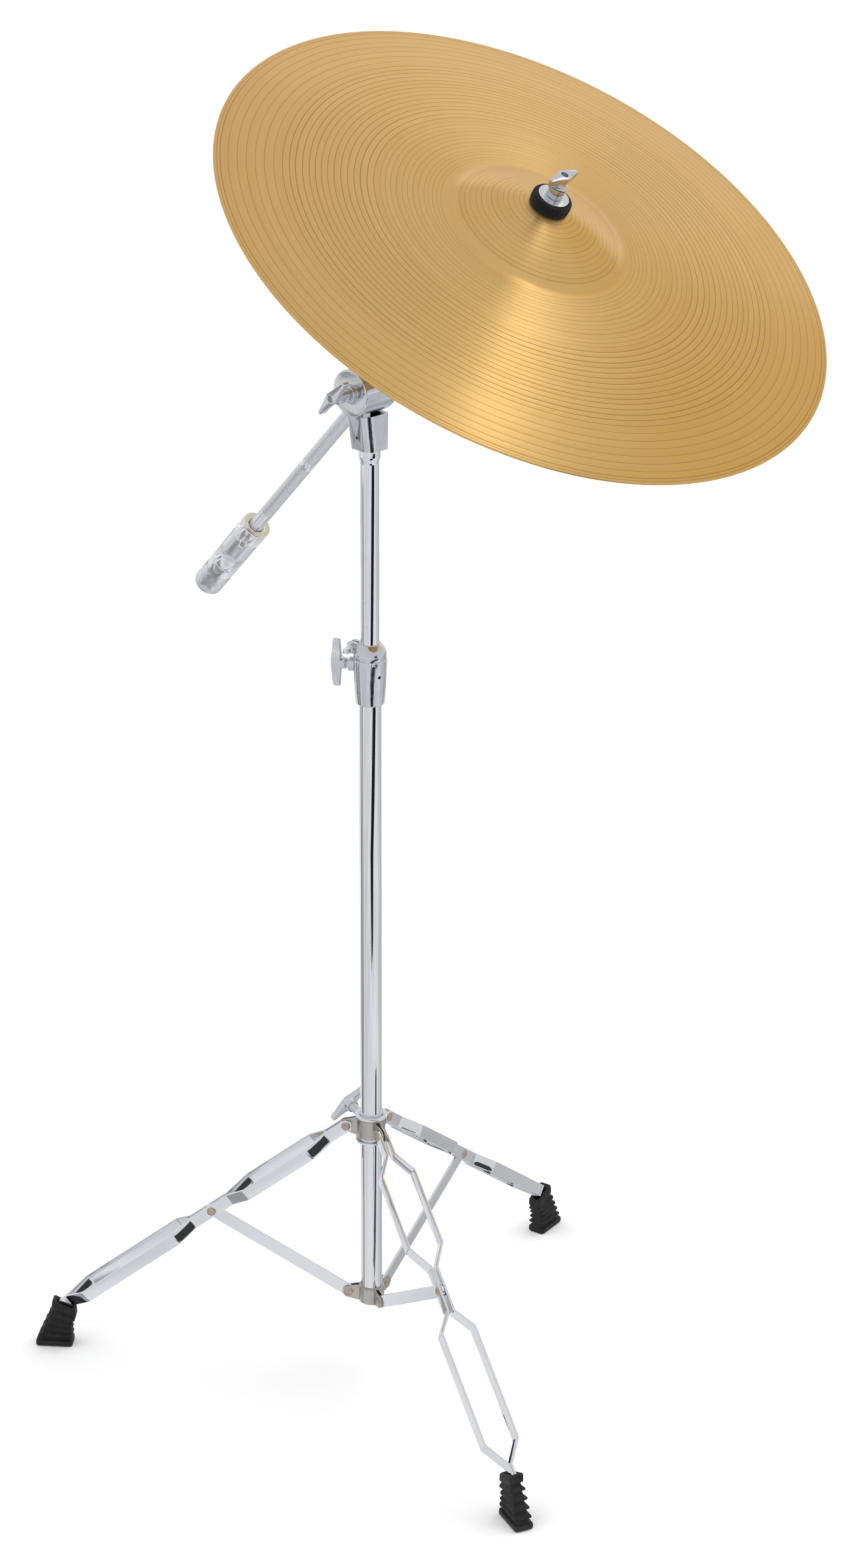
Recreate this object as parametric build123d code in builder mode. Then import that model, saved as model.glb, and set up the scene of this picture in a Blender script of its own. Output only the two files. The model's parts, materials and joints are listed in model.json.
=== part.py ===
"""Ride cymbal on a double-braced boom stand, in millimetres.

Frame: the origin is on the floor, on the axis of the column. +Z is up, and +X is
the horizontal direction in which the boom reaches out.
"""
from build123d import *
from math import atan2, cos, degrees, hypot, radians, sin
import os

os.makedirs("parts", exist_ok=True)

# ---------------------------------------------------------------- driving sizes
RUN_FIT = 0.05            # radial clearance of a turning or sliding fit
FACE_GAP = 0.1            # gap between flat faces that move past each other

# column
BASE_TUBE_R = 9.525       # 19.05 mm tube
TUBE_WALL = 1.2
BASE_TUBE_BOTTOM = 60.0
BASE_TUBE_TOP = 655.0
UPPER_TUBE_R = 7.9375     # 15.875 mm tube
UPPER_TUBE_BOTTOM = 400.0
COLLAR_BOTTOM = 634.5
COLLAR_TOP = 675.0
SOCKET_BOTTOM = 857.0
SOCKET_TOP = 888.0

# tripod: radius and height of the three pins of each leg
LEG_AZIMUTHS = (-20.0, 100.0, 220.0)
LEG_PIN = (21.9, 235.4)
JOIN_PIN = (142.9, 144.0)
BRACE_PIN = (20.3, 67.5)
SOLE_RADIUS = 288.7
STRIP_THICKNESS = 2.2
STRIP_HEIGHT = 11.0
STRIP_SPREAD = 15.4       # half of the width of a leg's loops
BRACE_THICKNESS = 2.5
PIN_R = 2.4

# boom
BOOM_SIDE = 3.5           # the boom's plane lies this far to the +Y side
HINGE_HEIGHT = 908.0
BOOM_ANGLE = 47.0
BOOM_ROD_R = 6.0
DRUM_R = 19.5
DRUM_FRONT = -8.4         # friction face of the drum, along the hinge axis
WEIGHT_START = 206.0      # distances down the rod from the hinge
WEIGHT_RING = 15.0
WEIGHT_LENGTH = 96.0
WEIGHT_R = 12.7
ROD_TAIL = 290.0
ROD_HEAD = 219.5          # distance up the rod to its end in the cymbal tilter
TILT_PIN = 230.0

# cymbal, with heights above the plane of its rim
CYMBAL_R = 254.0
CYMBAL_CENTRE = (168.4, BOOM_SIDE, 1054.5)
CYMBAL_TILT = 31.1
CYMBAL_THICKNESS = 1.3
BELL_R = 69.0
BELL_BASE = 19.0
BELL_TOP = 41.5
CYMBAL_HOLE_R = 6.5

# ---------------------------------------------------------- directions and planes
Z_AXIS = Vector(0, 0, 1)
BOOM = Vector(cos(radians(BOOM_ANGLE)), 0, sin(radians(BOOM_ANGLE)))
BOOM_UP = Vector(-BOOM.Z, 0, BOOM.X)
HINGE = Vector(0, BOOM_SIDE, HINGE_HEIGHT)
POST = Vector(sin(radians(CYMBAL_TILT)), 0, cos(radians(CYMBAL_TILT)))
ACROSS = Vector(POST.Z, 0, -POST.X)
RIM = Vector(*CYMBAL_CENTRE)
BOOM_AXIS = Axis(HINGE, BOOM)
POST_AXIS = Axis(RIM, POST)
TILT_CENTRE = HINGE + BOOM * TILT_PIN
BOOM_SECTION = Plane(HINGE, x_dir=BOOM, z_dir=(0, -1, 0))
POST_SECTION = Plane(RIM, x_dir=ACROSS, z_dir=(0, -1, 0))
TILT_BACK = (RIM - TILT_CENTRE).dot(ACROSS)     # the post stands this far off its pin


def radial(azimuth):
    return Vector(cos(radians(azimuth)), sin(radians(azimuth)), 0)


def tangent(azimuth):
    return Vector(-sin(radians(azimuth)), cos(radians(azimuth)), 0)


def outward_plane(azimuth, height):
    """A plane through the column's axis whose normal points outwards."""
    return Plane((0, 0, height), x_dir=tangent(azimuth), z_dir=radial(azimuth))


def side_plane(azimuth, offset=0.0):
    """The plane of radius (x) and height (y), moved sideways by offset."""
    return Plane(tangent(azimuth) * -offset, x_dir=radial(azimuth), z_dir=tangent(azimuth) * -1)


def level(height):
    return Plane.XY.offset(height)


def save(part, label):
    part.label = label
    export_step(part, f"parts/{label}.step")


# -------------------------------------------------------------------- cast wings
FLANK = ((0.5, 1.6), (0.25, 3.4), (0, 5.6), (-0.25, 3.4), (-0.5, 1.6))


def wing(plane, span, depth, barrel_r, barrel, hole_r, through):
    """A cast wing with a threaded barrel; it stands on plane and faces along its normal."""
    top = barrel + depth
    with BuildPart() as casting:
        with BuildSketch(plane):
            with BuildLine():
                Spline(
                    *[(span * at, half) for at, half in FLANK],
                    tangents=((-1, 0.15), (-1, -0.15)),
                )
                Line((-span / 2, 1.6), (-span / 2, -1.6))
                Spline(
                    *[(-span * at, -half) for at, half in FLANK],
                    tangents=((1, -0.15), (1, 0.15)),
                )
                Line((span / 2, -1.6), (span / 2, 1.6))
            make_face()
        extrude(amount=top)
        across = Plane(plane.origin, x_dir=plane.x_dir, z_dir=plane.y_dir * -1)
        with BuildSketch(across):
            with BuildLine():
                Polyline(
                    (-span / 2, top - 8.5),
                    (-span / 2, top - 1.5),
                    (0, top),
                    (span / 2, top - 1.5),
                    (span / 2, top - 8.5),
                    (barrel_r, barrel),
                    (-barrel_r, barrel),
                    close=True,
                )
            make_face()
        extrude(amount=8, both=True, mode=Mode.INTERSECT)
        with BuildSketch(plane):
            Circle(barrel_r)
        extrude(amount=barrel + 3)
        with BuildSketch(plane):
            Circle(hole_r)
        extrude(amount=top if through else barrel, mode=Mode.SUBTRACT)
    return casting.part


# ------------------------------------------------------------------------ column
with BuildPart() as base_tube:
    with BuildSketch(level(BASE_TUBE_BOTTOM)):
        Circle(BASE_TUBE_R)
        Circle(BASE_TUBE_R - TUBE_WALL, mode=Mode.SUBTRACT)
    extrude(amount=BASE_TUBE_TOP - BASE_TUBE_BOTTOM)
save(base_tube.part, "base_tube")

SLEEVE_TAIL = 45.0        # how far the nylon sleeve reaches down into the base tube
SLEEVE_BORE = UPPER_TUBE_R + RUN_FIT
with BuildPart() as height_sleeve:
    with BuildSketch(level(BASE_TUBE_TOP - SLEEVE_TAIL)):
        Circle(BASE_TUBE_R - TUBE_WALL)
        Circle(SLEEVE_BORE, mode=Mode.SUBTRACT)
    extrude(amount=SLEEVE_TAIL)
    with BuildSketch(level(BASE_TUBE_TOP)):
        Circle(BASE_TUBE_R)
        Circle(SLEEVE_BORE, mode=Mode.SUBTRACT)
    extrude(amount=COLLAR_TOP - BASE_TUBE_TOP)
save(height_sleeve.part, "height_sleeve")

COLLAR_TOP_R = 14.2
HEIGHT_BOLT_AZIMUTH = 205.0
HEIGHT_BOLT_LEVEL = 667.5
HEIGHT_BOLT_SEAT = 18.0   # outer face of the threaded boss
BOLT_R = 4.0
with BuildPart() as height_collar:
    with BuildSketch(Plane.XZ):
        with BuildLine():
            Polyline((BASE_TUBE_R, COLLAR_TOP), (BASE_TUBE_R, COLLAR_BOTTOM), (11.0, COLLAR_BOTTOM))
            lip = (COLLAR_TOP_R, COLLAR_TOP - 0.8)
            RadiusArc((11.0, COLLAR_BOTTOM), (12.2, COLLAR_BOTTOM + 1.6), -1.6)
            ThreePointArc((12.2, COLLAR_BOTTOM + 1.6), (13.6, COLLAR_BOTTOM + 20), lip)
            Polyline(lip, (COLLAR_TOP_R - 0.6, COLLAR_TOP), (BASE_TUBE_R, COLLAR_TOP))
        make_face()
    revolve(axis=Axis.Z)
    with BuildSketch(outward_plane(HEIGHT_BOLT_AZIMUTH, HEIGHT_BOLT_LEVEL).offset(BASE_TUBE_R + 1.5)):
        Circle(6.2)
    extrude(amount=HEIGHT_BOLT_SEAT - BASE_TUBE_R - 1.5)
    with BuildSketch(outward_plane(HEIGHT_BOLT_AZIMUTH, HEIGHT_BOLT_LEVEL)):
        Circle(BOLT_R + RUN_FIT)
    extrude(amount=25, mode=Mode.SUBTRACT)
    with BuildSketch(outward_plane(-11, 661.5)):
        Circle(1.4)
    extrude(amount=20, mode=Mode.SUBTRACT)
save(height_collar.part, "height_collar")

T_SPAN = 42.0
T_DEPTH = 9.0
HEIGHT_BOLT_PLANE = outward_plane(HEIGHT_BOLT_AZIMUTH, HEIGHT_BOLT_LEVEL)
BOLT_TIP = BASE_TUBE_R + 0.1
wing_seat = radial(HEIGHT_BOLT_AZIMUTH) * 21 + Z_AXIS * HEIGHT_BOLT_LEVEL
upright = Plane(wing_seat, x_dir=Z_AXIS, z_dir=radial(HEIGHT_BOLT_AZIMUTH))
height_wing = wing(upright, T_SPAN, T_DEPTH, 5.0, 3.5, 1.0, False)
with BuildPart() as height_wing_bolt:
    with BuildSketch(HEIGHT_BOLT_PLANE.offset(BOLT_TIP)):
        Circle(BOLT_R)
    extrude(amount=24 - BOLT_TIP)
    add(height_wing)
save(height_wing_bolt.part, "height_wing_bolt")

LOCK_TOP = 688.0
LOCK_BASE = COLLAR_TOP + FACE_GAP
LUG_AZIMUTH = 190.0
LUG_LEVEL = 681.5
LUG_REACH = 20.5
KEY_SCREW_R = 2.5
with BuildPart() as memory_lock:
    with BuildSketch(Plane.XZ):
        with BuildLine():
            Line((9.2, LOCK_TOP), (SLEEVE_BORE, LOCK_TOP))
            Line((SLEEVE_BORE, LOCK_TOP), (SLEEVE_BORE, LOCK_BASE))
            Line((SLEEVE_BORE, LOCK_BASE), (13.9, LOCK_BASE))
            ThreePointArc((13.9, LOCK_BASE), (12.9, LOCK_BASE + 7.6), (9.2, LOCK_TOP))
        make_face()
    revolve(axis=Axis.Z)
    with BuildSketch(side_plane(LUG_AZIMUTH)):
        with Locations(((11 + LUG_REACH) / 2, LUG_LEVEL)):
            RectangleRounded(LUG_REACH - 11, 10.0, 2.0)
    extrude(amount=4.6, both=True)
    with BuildSketch(side_plane(LUG_AZIMUTH)):
        with Locations((LUG_REACH / 2 + 4, LUG_LEVEL)):
            Rectangle(LUG_REACH + 2, 20.0)
    extrude(amount=0.7, both=True, mode=Mode.SUBTRACT)
    with BuildSketch(side_plane(LUG_AZIMUTH)):
        with Locations((15.6, LUG_LEVEL)):
            Circle(KEY_SCREW_R + RUN_FIT)
    extrude(amount=12, both=True, mode=Mode.SUBTRACT)
save(memory_lock.part, "memory_lock")


def key_screw(plane, shank, label):
    """A square-head drum-key screw: its flange sits on plane and its head faces along the normal."""
    with BuildPart() as screw:
        with BuildSketch(plane):
            Circle(KEY_SCREW_R)
        extrude(amount=-shank)
        with BuildSketch(plane):
            Circle(KEY_SCREW_R)
        extrude(amount=2.5)
        with BuildSketch(plane.offset(2.5)):
            Circle(3.7)
        extrude(amount=1.4)
        with BuildSketch(plane.offset(3.9)):
            RectangleRounded(4.7, 4.7, 0.7)
        extrude(amount=6.0)
    save(screw.part, label)


LUG_SIDE = tangent(LUG_AZIMUTH)
LUG_CENTRE = radial(LUG_AZIMUTH) * 15.6 + Z_AXIS * LUG_LEVEL
LUG_FACE = Plane(LUG_CENTRE + LUG_SIDE * 4.6, x_dir=Z_AXIS, z_dir=LUG_SIDE)
key_screw(LUG_FACE, 9.2, "memory_lock_screw")

PLUG_FLANGE = 5.0
with BuildPart() as tube_guide_plug:
    with BuildSketch(level(UPPER_TUBE_BOTTOM - FACE_GAP - PLUG_FLANGE)):
        Circle(BASE_TUBE_R - TUBE_WALL - 0.08)
    extrude(amount=PLUG_FLANGE)
    with BuildSketch(level(UPPER_TUBE_BOTTOM - FACE_GAP)):
        Circle(UPPER_TUBE_R - TUBE_WALL - RUN_FIT)
    extrude(amount=15.0)
save(tube_guide_plug.part, "tube_guide_plug")

SWAGE_R = 9.15
TUBE_SEAT = 880.0
with BuildPart() as upper_tube:
    with BuildSketch(Plane.XZ):
        with BuildLine():
            Polyline(
                (UPPER_TUBE_R, UPPER_TUBE_BOTTOM),
                (UPPER_TUBE_R, 846.0),
                (SWAGE_R, 850.5),
                (SWAGE_R, SOCKET_BOTTOM),
                (UPPER_TUBE_R, SOCKET_BOTTOM),
                (UPPER_TUBE_R, TUBE_SEAT),
                (UPPER_TUBE_R - TUBE_WALL, TUBE_SEAT),
                (UPPER_TUBE_R - TUBE_WALL, UPPER_TUBE_BOTTOM),
                close=True,
            )
        make_face()
    revolve(axis=Axis.Z)
save(upper_tube.part, "upper_tube")

# ------------------------------------------------------------------- boom tilter
EAR_FRONT = -22.5
EAR_BACK = DRUM_FRONT - FACE_GAP
SOCKET_BACK = 11.3
SOCKET_SHOULDER = (7.0, 9.0)      # width and height of the slope under the rod's tail
with BuildPart() as tilter_socket:
    for height, half, front in ((SOCKET_BOTTOM, 11.4, -10.4), (SOCKET_TOP, 12.0, -15.0)):
        with BuildSketch(level(height)) as outline:
            with BuildLine():
                Polyline(
                    (-half, front),
                    (half, front),
                    (half, SOCKET_BACK),
                    (-half, SOCKET_BACK),
                    close=True,
                )
            make_face()
            fillet(outline.vertices().sort_by(lambda v: v.X - v.Y)[-1], 8.0)
            fillet(outline.vertices().sort_by(lambda v: -v.X - v.Y)[-1], 2.0)
            fillet(outline.vertices().sort_by(Axis.Y)[-2:], 3.0)
    loft()
    with BuildSketch(Plane.XZ.offset(-EAR_BACK)):
        with BuildLine():
            low = SOCKET_TOP - SOCKET_SHOULDER[1] - 1.3
            inner = 12.0 - SOCKET_SHOULDER[0]
            Polyline(
                (-13.0, low),
                (-inner, SOCKET_TOP),
                (-inner, SOCKET_TOP + 3),
                (-15.0, SOCKET_TOP + 3),
                (-15.0, low),
                close=True,
            )
        make_face()
    extrude(amount=EAR_BACK - SOCKET_BACK - 1, mode=Mode.SUBTRACT)
    with BuildSketch(Plane.YZ):
        with BuildLine():
            Polyline(
                (EAR_BACK, 897.0),
                (-18.0, 897.0),
                (-15.0, SOCKET_TOP - 0.5),
                (EAR_BACK, SOCKET_TOP - 0.5),
                close=True,
            )
        make_face()
    extrude(amount=9.5, both=True)
    with BuildSketch(Plane.XZ.offset(-EAR_BACK)):
        with Locations((0, HINGE_HEIGHT)):
            Circle(DRUM_R)
    extrude(amount=EAR_BACK - EAR_FRONT)
    fillet(tilter_socket.faces().sort_by(Axis.Y)[0].edges(), 1.6)
    with BuildSketch(level(SOCKET_BOTTOM)):
        Circle(UPPER_TUBE_R)
    extrude(amount=TUBE_SEAT - SOCKET_BOTTOM, mode=Mode.SUBTRACT)
    with BuildSketch(Plane.XZ):
        with Locations((0, HINGE_HEIGHT)):
            Circle(BOLT_R + RUN_FIT)
    extrude(amount=40, mode=Mode.SUBTRACT)
    with BuildSketch(Plane.XZ.offset(8.5)):
        with Locations((-2.4, 868.0)):
            Circle(1.5)
    extrude(amount=10, mode=Mode.SUBTRACT)
save(tilter_socket.part, "tilter_socket")

EYE_R = 9.0
EYE_FRONT = -5.5
EYE_BACK = 13.0
DRUM_BACK = 18.5
with BuildPart() as tilter_drum:
    with BuildSketch(Plane.XZ.offset(-DRUM_FRONT)):
        with Locations((0, HINGE_HEIGHT)):
            Circle(DRUM_R)
    extrude(amount=DRUM_FRONT - DRUM_BACK)
    fillet(tilter_drum.faces().sort_by(Axis.Y)[-1].edges(), 9.0)
    with BuildSketch(Plane.XZ.offset(-DRUM_FRONT)):
        with Locations((0, HINGE_HEIGHT)):
            Circle(EYE_R + 0.1)
    extrude(amount=DRUM_FRONT - EYE_BACK - 0.3, mode=Mode.SUBTRACT)
    with BuildSketch(Plane(HINGE - BOOM * 30, z_dir=BOOM)):
        Circle(BOOM_ROD_R + RUN_FIT)
    extrude(amount=60, mode=Mode.SUBTRACT)
save(tilter_drum.part, "tilter_drum")

STUD_END = -40.0
with BuildPart() as tilter_eye_bolt:
    with BuildSketch(Plane.XZ.offset(-EYE_BACK)):
        with Locations((0, HINGE_HEIGHT)):
            Circle(EYE_R)
    extrude(amount=EYE_BACK - EYE_FRONT)
    with BuildSketch(Plane.XZ.offset(-EYE_FRONT)):
        with Locations((0, HINGE_HEIGHT)):
            Circle(BOLT_R)
    extrude(amount=EYE_FRONT - STUD_END)
    with BuildSketch(Plane(HINGE - BOOM * 30, z_dir=BOOM)):
        Circle(BOOM_ROD_R + RUN_FIT)
    extrude(amount=60, mode=Mode.SUBTRACT)
save(tilter_eye_bolt.part, "tilter_eye_bolt")

WASHER_THICKNESS = 2.6
with BuildPart() as tilter_washer:
    with BuildSketch(Plane.XZ.offset(-EAR_FRONT)):
        with Locations((0, HINGE_HEIGHT)):
            Circle(7.6)
            Circle(BOLT_R + RUN_FIT, mode=Mode.SUBTRACT)
    extrude(amount=WASHER_THICKNESS)
    fillet(tilter_washer.faces().sort_by(Axis.Y)[0].edges(), 0.8)
save(tilter_washer.part, "tilter_washer")

TILTER_NUT_Y = -31.0
TILTER_NUT_PLANE = Plane((0, TILTER_NUT_Y, HINGE_HEIGHT), x_dir=BOOM, z_dir=(0, -1, 0))
tilter_wing_nut = wing(TILTER_NUT_PLANE, T_SPAN, T_DEPTH, 5.8, 4.4, BOLT_R + RUN_FIT, True)
save(tilter_wing_nut, "tilter_wing_nut")

# --------------------------------------------------------- boom rod and its weight
MARK_BAND = 111.0
with BuildPart() as boom_rod:
    with BuildSketch(Plane(HINGE - BOOM * ROD_TAIL, z_dir=BOOM)):
        Circle(BOOM_ROD_R)
    extrude(amount=ROD_TAIL + ROD_HEAD)
    chamfer(boom_rod.edges().filter_by(GeomType.CIRCLE), 0.8)
    with BuildSketch(BOOM_SECTION):
        with Locations((-MARK_BAND, -BOOM_ROD_R)):
            SlotOverall(7.0, 0.8)
    extrude(amount=1.2, both=True, mode=Mode.SUBTRACT)
save(boom_rod.part, "boom_rod")

WEIGHT_BORE = BOOM_ROD_R + RUN_FIT
with BuildPart() as counterweight:
    with BuildSketch(BOOM_SECTION):
        with BuildLine():
            near = -(WEIGHT_START + WEIGHT_RING)
            far = -(WEIGHT_START + WEIGHT_LENGTH)
            groove = near - 41.0
            Polyline(
                (near, WEIGHT_BORE),
                (near, WEIGHT_R - 1.2),
                (near - 1.2, WEIGHT_R - 1.2),
                (near - 2.4, WEIGHT_R),
                (groove + 0.4, WEIGHT_R),
                (groove, WEIGHT_R - 0.5),
                (groove - 0.4, WEIGHT_R),
                (far + 5.5, WEIGHT_R),
            )
            RadiusArc((far + 5.5, WEIGHT_R), (far, WEIGHT_R - 5.5), -5.5)
            Polyline((far, WEIGHT_R - 5.5), (far, WEIGHT_BORE), (near, WEIGHT_BORE))
        make_face()
    revolve(axis=BOOM_AXIS)
save(counterweight.part, "counterweight")

RING_R = 13.0
WEIGHT_SCREW_ALONG = -(WEIGHT_START + 8.0)
WEIGHT_SCREW_AZIMUTH = -62.0    # about the rod, from straight under it
SCREW_ANGLE = radians(WEIGHT_SCREW_AZIMUTH)
SCREW_DIRECTION = BOOM_UP * -cos(SCREW_ANGLE) + Vector(0, 1, 0) * sin(SCREW_ANGLE)
SCREW_FOOT = HINGE + BOOM * WEIGHT_SCREW_ALONG
with BuildPart() as counterweight_ring:
    with BuildSketch(BOOM_SECTION):
        with BuildLine():
            start = -WEIGHT_START
            end = -(WEIGHT_START + WEIGHT_RING)
            Polyline(
                (start, 7.6),
                (start, RING_R - 1.0),
                (start - 1.0, RING_R),
                (end, RING_R),
                (end, WEIGHT_BORE),
                (start - 3.0, WEIGHT_BORE),
                close=True,
            )
        make_face()
    revolve(axis=BOOM_AXIS)
    with BuildSketch(Plane(SCREW_FOOT, x_dir=BOOM, z_dir=SCREW_DIRECTION)):
        Circle(KEY_SCREW_R + RUN_FIT)
    extrude(amount=20, mode=Mode.SUBTRACT)
save(counterweight_ring.part, "counterweight_ring")

SCREW_SEAT = RING_R + 3.0
SCREW_PLANE = Plane(SCREW_FOOT + SCREW_DIRECTION * SCREW_SEAT, x_dir=BOOM, z_dir=SCREW_DIRECTION)
key_screw(SCREW_PLANE, SCREW_SEAT - BOOM_ROD_R - 0.15, "counterweight_screw")

# ---------------------------------------------------------------- cymbal tilter
TILT_R = 9.5
TILT_EAR = 8.0
with BuildPart() as cymbal_tilter_base:
    with BuildSketch(Plane(HINGE + BOOM * (ROD_HEAD - 14), z_dir=BOOM)):
        Circle(8.5)
    extrude(amount=14.0 + 1.5)
    with BuildSketch(Plane.XZ.offset(-(BOOM_SIDE - FACE_GAP / 2))):
        with Locations((TILT_CENTRE.X, TILT_CENTRE.Z)):
            Circle(TILT_R)
    extrude(amount=TILT_EAR)
    with BuildSketch(Plane(HINGE + BOOM * (ROD_HEAD - 15), z_dir=BOOM)):
        Circle(BOOM_ROD_R + RUN_FIT)
    extrude(amount=15.2, mode=Mode.SUBTRACT)
    with BuildSketch(Plane.XZ.offset(-(BOOM_SIDE - FACE_GAP / 2))):
        with Locations((TILT_CENTRE.X, TILT_CENTRE.Z)):
            Circle(3.0 + RUN_FIT)
    extrude(amount=TILT_EAR + 5, mode=Mode.SUBTRACT)
    with BuildSketch(Plane.XZ.offset(-(BOOM_SIDE - FACE_GAP / 2))):
        with Locations((TILT_CENTRE.X, TILT_CENTRE.Z)):
            Circle(TILT_R + 0.4)
    extrude(amount=-12, mode=Mode.SUBTRACT)
save(cymbal_tilter_base.part, "cymbal_tilter_base")

BOSS_R = 7.0
POST_R = 4.0
POST_FOOT = 1.0           # height above the rim's plane at which the post starts
BOSS_TOP = 22.0
with BuildPart() as cymbal_tilter_head:
    with BuildSketch(Plane.XZ.offset(-(BOOM_SIDE + FACE_GAP / 2))):
        with Locations((TILT_CENTRE.X, TILT_CENTRE.Z)):
            Circle(TILT_R)
    extrude(amount=-TILT_EAR)
    arm_plane = Plane(TILT_CENTRE + Vector(0, FACE_GAP / 2, 0), x_dir=ACROSS, z_dir=(0, -1, 0))
    with BuildSketch(arm_plane):
        with Locations((TILT_BACK / 2, 0)):
            Rectangle(TILT_BACK, 12.0)
    extrude(amount=-6.5)
    with BuildSketch(Plane(RIM + POST * (POST_FOOT + 1.0), z_dir=POST)):
        Circle(BOSS_R)
    extrude(amount=BOSS_TOP - POST_FOOT - 1.0)
    with BuildSketch(Plane(RIM + POST * (POST_FOOT - 1.0), z_dir=POST)):
        Circle(POST_R)
    extrude(amount=40.0, mode=Mode.SUBTRACT)
    with BuildSketch(Plane.XZ.offset(-BOOM_SIDE)):
        with Locations((TILT_CENTRE.X, TILT_CENTRE.Z)):
            Circle(3.0 + RUN_FIT)
    extrude(amount=-20.0, mode=Mode.SUBTRACT)
save(cymbal_tilter_head.part, "cymbal_tilter_head")

TILT_BOLT_HEAD = BOOM_SIDE - FACE_GAP / 2 - TILT_EAR
with BuildPart() as cymbal_tilter_bolt:
    with BuildSketch(Plane.XZ.offset(-(BOOM_SIDE + FACE_GAP / 2 + TILT_EAR))):
        with Locations((TILT_CENTRE.X, TILT_CENTRE.Z)):
            RegularPolygon(5.5, 6)
    extrude(amount=-3.6)
    with BuildSketch(Plane.XZ.offset(-(BOOM_SIDE + FACE_GAP / 2 + TILT_EAR))):
        with Locations((TILT_CENTRE.X, TILT_CENTRE.Z)):
            Circle(3.0)
    extrude(amount=2 * TILT_EAR + FACE_GAP + 9.0)
save(cymbal_tilter_bolt.part, "cymbal_tilter_bolt")

TILT_NUT_SEAT = (TILT_CENTRE.X, TILT_BOLT_HEAD - 0.3, TILT_CENTRE.Z)
TILT_NUT_PLANE = Plane(TILT_NUT_SEAT, x_dir=BOOM, z_dir=(0, -1, 0))
cymbal_tilter_nut = wing(TILT_NUT_PLANE, 30.0, 8.0, 4.6, 3.5, 3.0 + RUN_FIT, True)
save(cymbal_tilter_nut, "cymbal_tilter_nut")

# -------------------------------------------------- cymbal seat, felts and cymbal
FELT_R = 16.0
FELT_HEIGHT = 9.0
FELT_BORE = 6.3
WASHER_R = 12.4
NUT_WASHER = 1.2
SLEEVE_R = 5.2
SEAT_LEVEL = BELL_TOP - CYMBAL_THICKNESS - FELT_HEIGHT - 0.2   # top of the seat washer
TOP_FELT_BASE = BELL_TOP + 0.1
TOP_WASHER_BASE = TOP_FELT_BASE + FELT_HEIGHT
POST_TIP = 66.0
POST_NECK_R = 3.0
with BuildPart() as cymbal_post:
    with BuildSketch(POST_SECTION):
        with BuildLine():
            Polyline(
                (0, POST_FOOT),
                (POST_R, POST_FOOT),
                (POST_R, SEAT_LEVEL - 2.0),
                (POST_NECK_R, SEAT_LEVEL - 2.0),
                (POST_NECK_R, POST_TIP - 0.8),
                (POST_NECK_R - 0.8, POST_TIP),
                (0, POST_TIP),
                close=True,
            )
        make_face()
    revolve(axis=POST_AXIS)
save(cymbal_post.part, "cymbal_post")


def post_ring(label, low, height, outer, inner, rounding=0.0):
    """A washer, felt or sleeve on the cymbal post."""
    with BuildPart() as ring:
        with BuildSketch(Plane(RIM + POST * low, z_dir=POST)):
            Circle(outer)
            Circle(inner, mode=Mode.SUBTRACT)
        extrude(amount=height)
        if rounding:
            fillet(ring.edges().filter_by(GeomType.CIRCLE).group_by(SortBy.RADIUS)[-1], rounding)
    save(ring.part, label)


post_ring("seat_washer", SEAT_LEVEL - 2.0, 2.0, 15.0, POST_NECK_R)
post_ring("post_sleeve", SEAT_LEVEL, TOP_WASHER_BASE - SEAT_LEVEL - 0.4, SLEEVE_R, POST_NECK_R)
post_ring("lower_felt", SEAT_LEVEL + 0.1, FELT_HEIGHT, FELT_R, FELT_BORE, 2.0)
post_ring("upper_felt", TOP_FELT_BASE, FELT_HEIGHT, FELT_R, FELT_BORE, 2.0)
post_ring("top_washer", TOP_WASHER_BASE + 0.1, NUT_WASHER, WASHER_R, POST_NECK_R + RUN_FIT)

NUT_TURN = 96.0
nut_across = ACROSS * cos(radians(NUT_TURN)) + Vector(0, 1, 0) * sin(radians(NUT_TURN))
NUT_SEAT = TOP_WASHER_BASE + NUT_WASHER + 0.2
CYMBAL_NUT_PLANE = Plane(RIM + POST * NUT_SEAT, x_dir=nut_across, z_dir=POST)
cymbal_wing_nut = wing(CYMBAL_NUT_PLANE, 32.0, 11.8, 6.4, 8.8, POST_NECK_R + RUN_FIT, True)
save(cymbal_wing_nut, "cymbal_wing_nut")

with BuildPart() as cymbal:
    with BuildSketch(POST_SECTION):
        with BuildLine():
            t = CYMBAL_THICKNESS
            foot_r = BELL_R + 3
            foot_z = BELL_BASE - 0.3
            under = BELL_TOP - t
            Line((CYMBAL_R, 0), (CYMBAL_R, -t))
            ThreePointArc((CYMBAL_R, -t), (162, 12.2 - t), (foot_r, foot_z - t))
            ThreePointArc((foot_r, foot_z - t), (47, under - 10.5), (16, under))
            Line((16, under), (CYMBAL_HOLE_R, under))
            Line((CYMBAL_HOLE_R, under), (CYMBAL_HOLE_R, BELL_TOP))
            Line((CYMBAL_HOLE_R, BELL_TOP), (16, BELL_TOP))
            ThreePointArc((16, BELL_TOP), (47, BELL_TOP - 10.5), (foot_r, foot_z))
            ThreePointArc((foot_r, foot_z), (162, 12.2), (CYMBAL_R, 0))
        make_face()
    revolve(axis=POST_AXIS)
save(cymbal.part, "cymbal")

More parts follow.
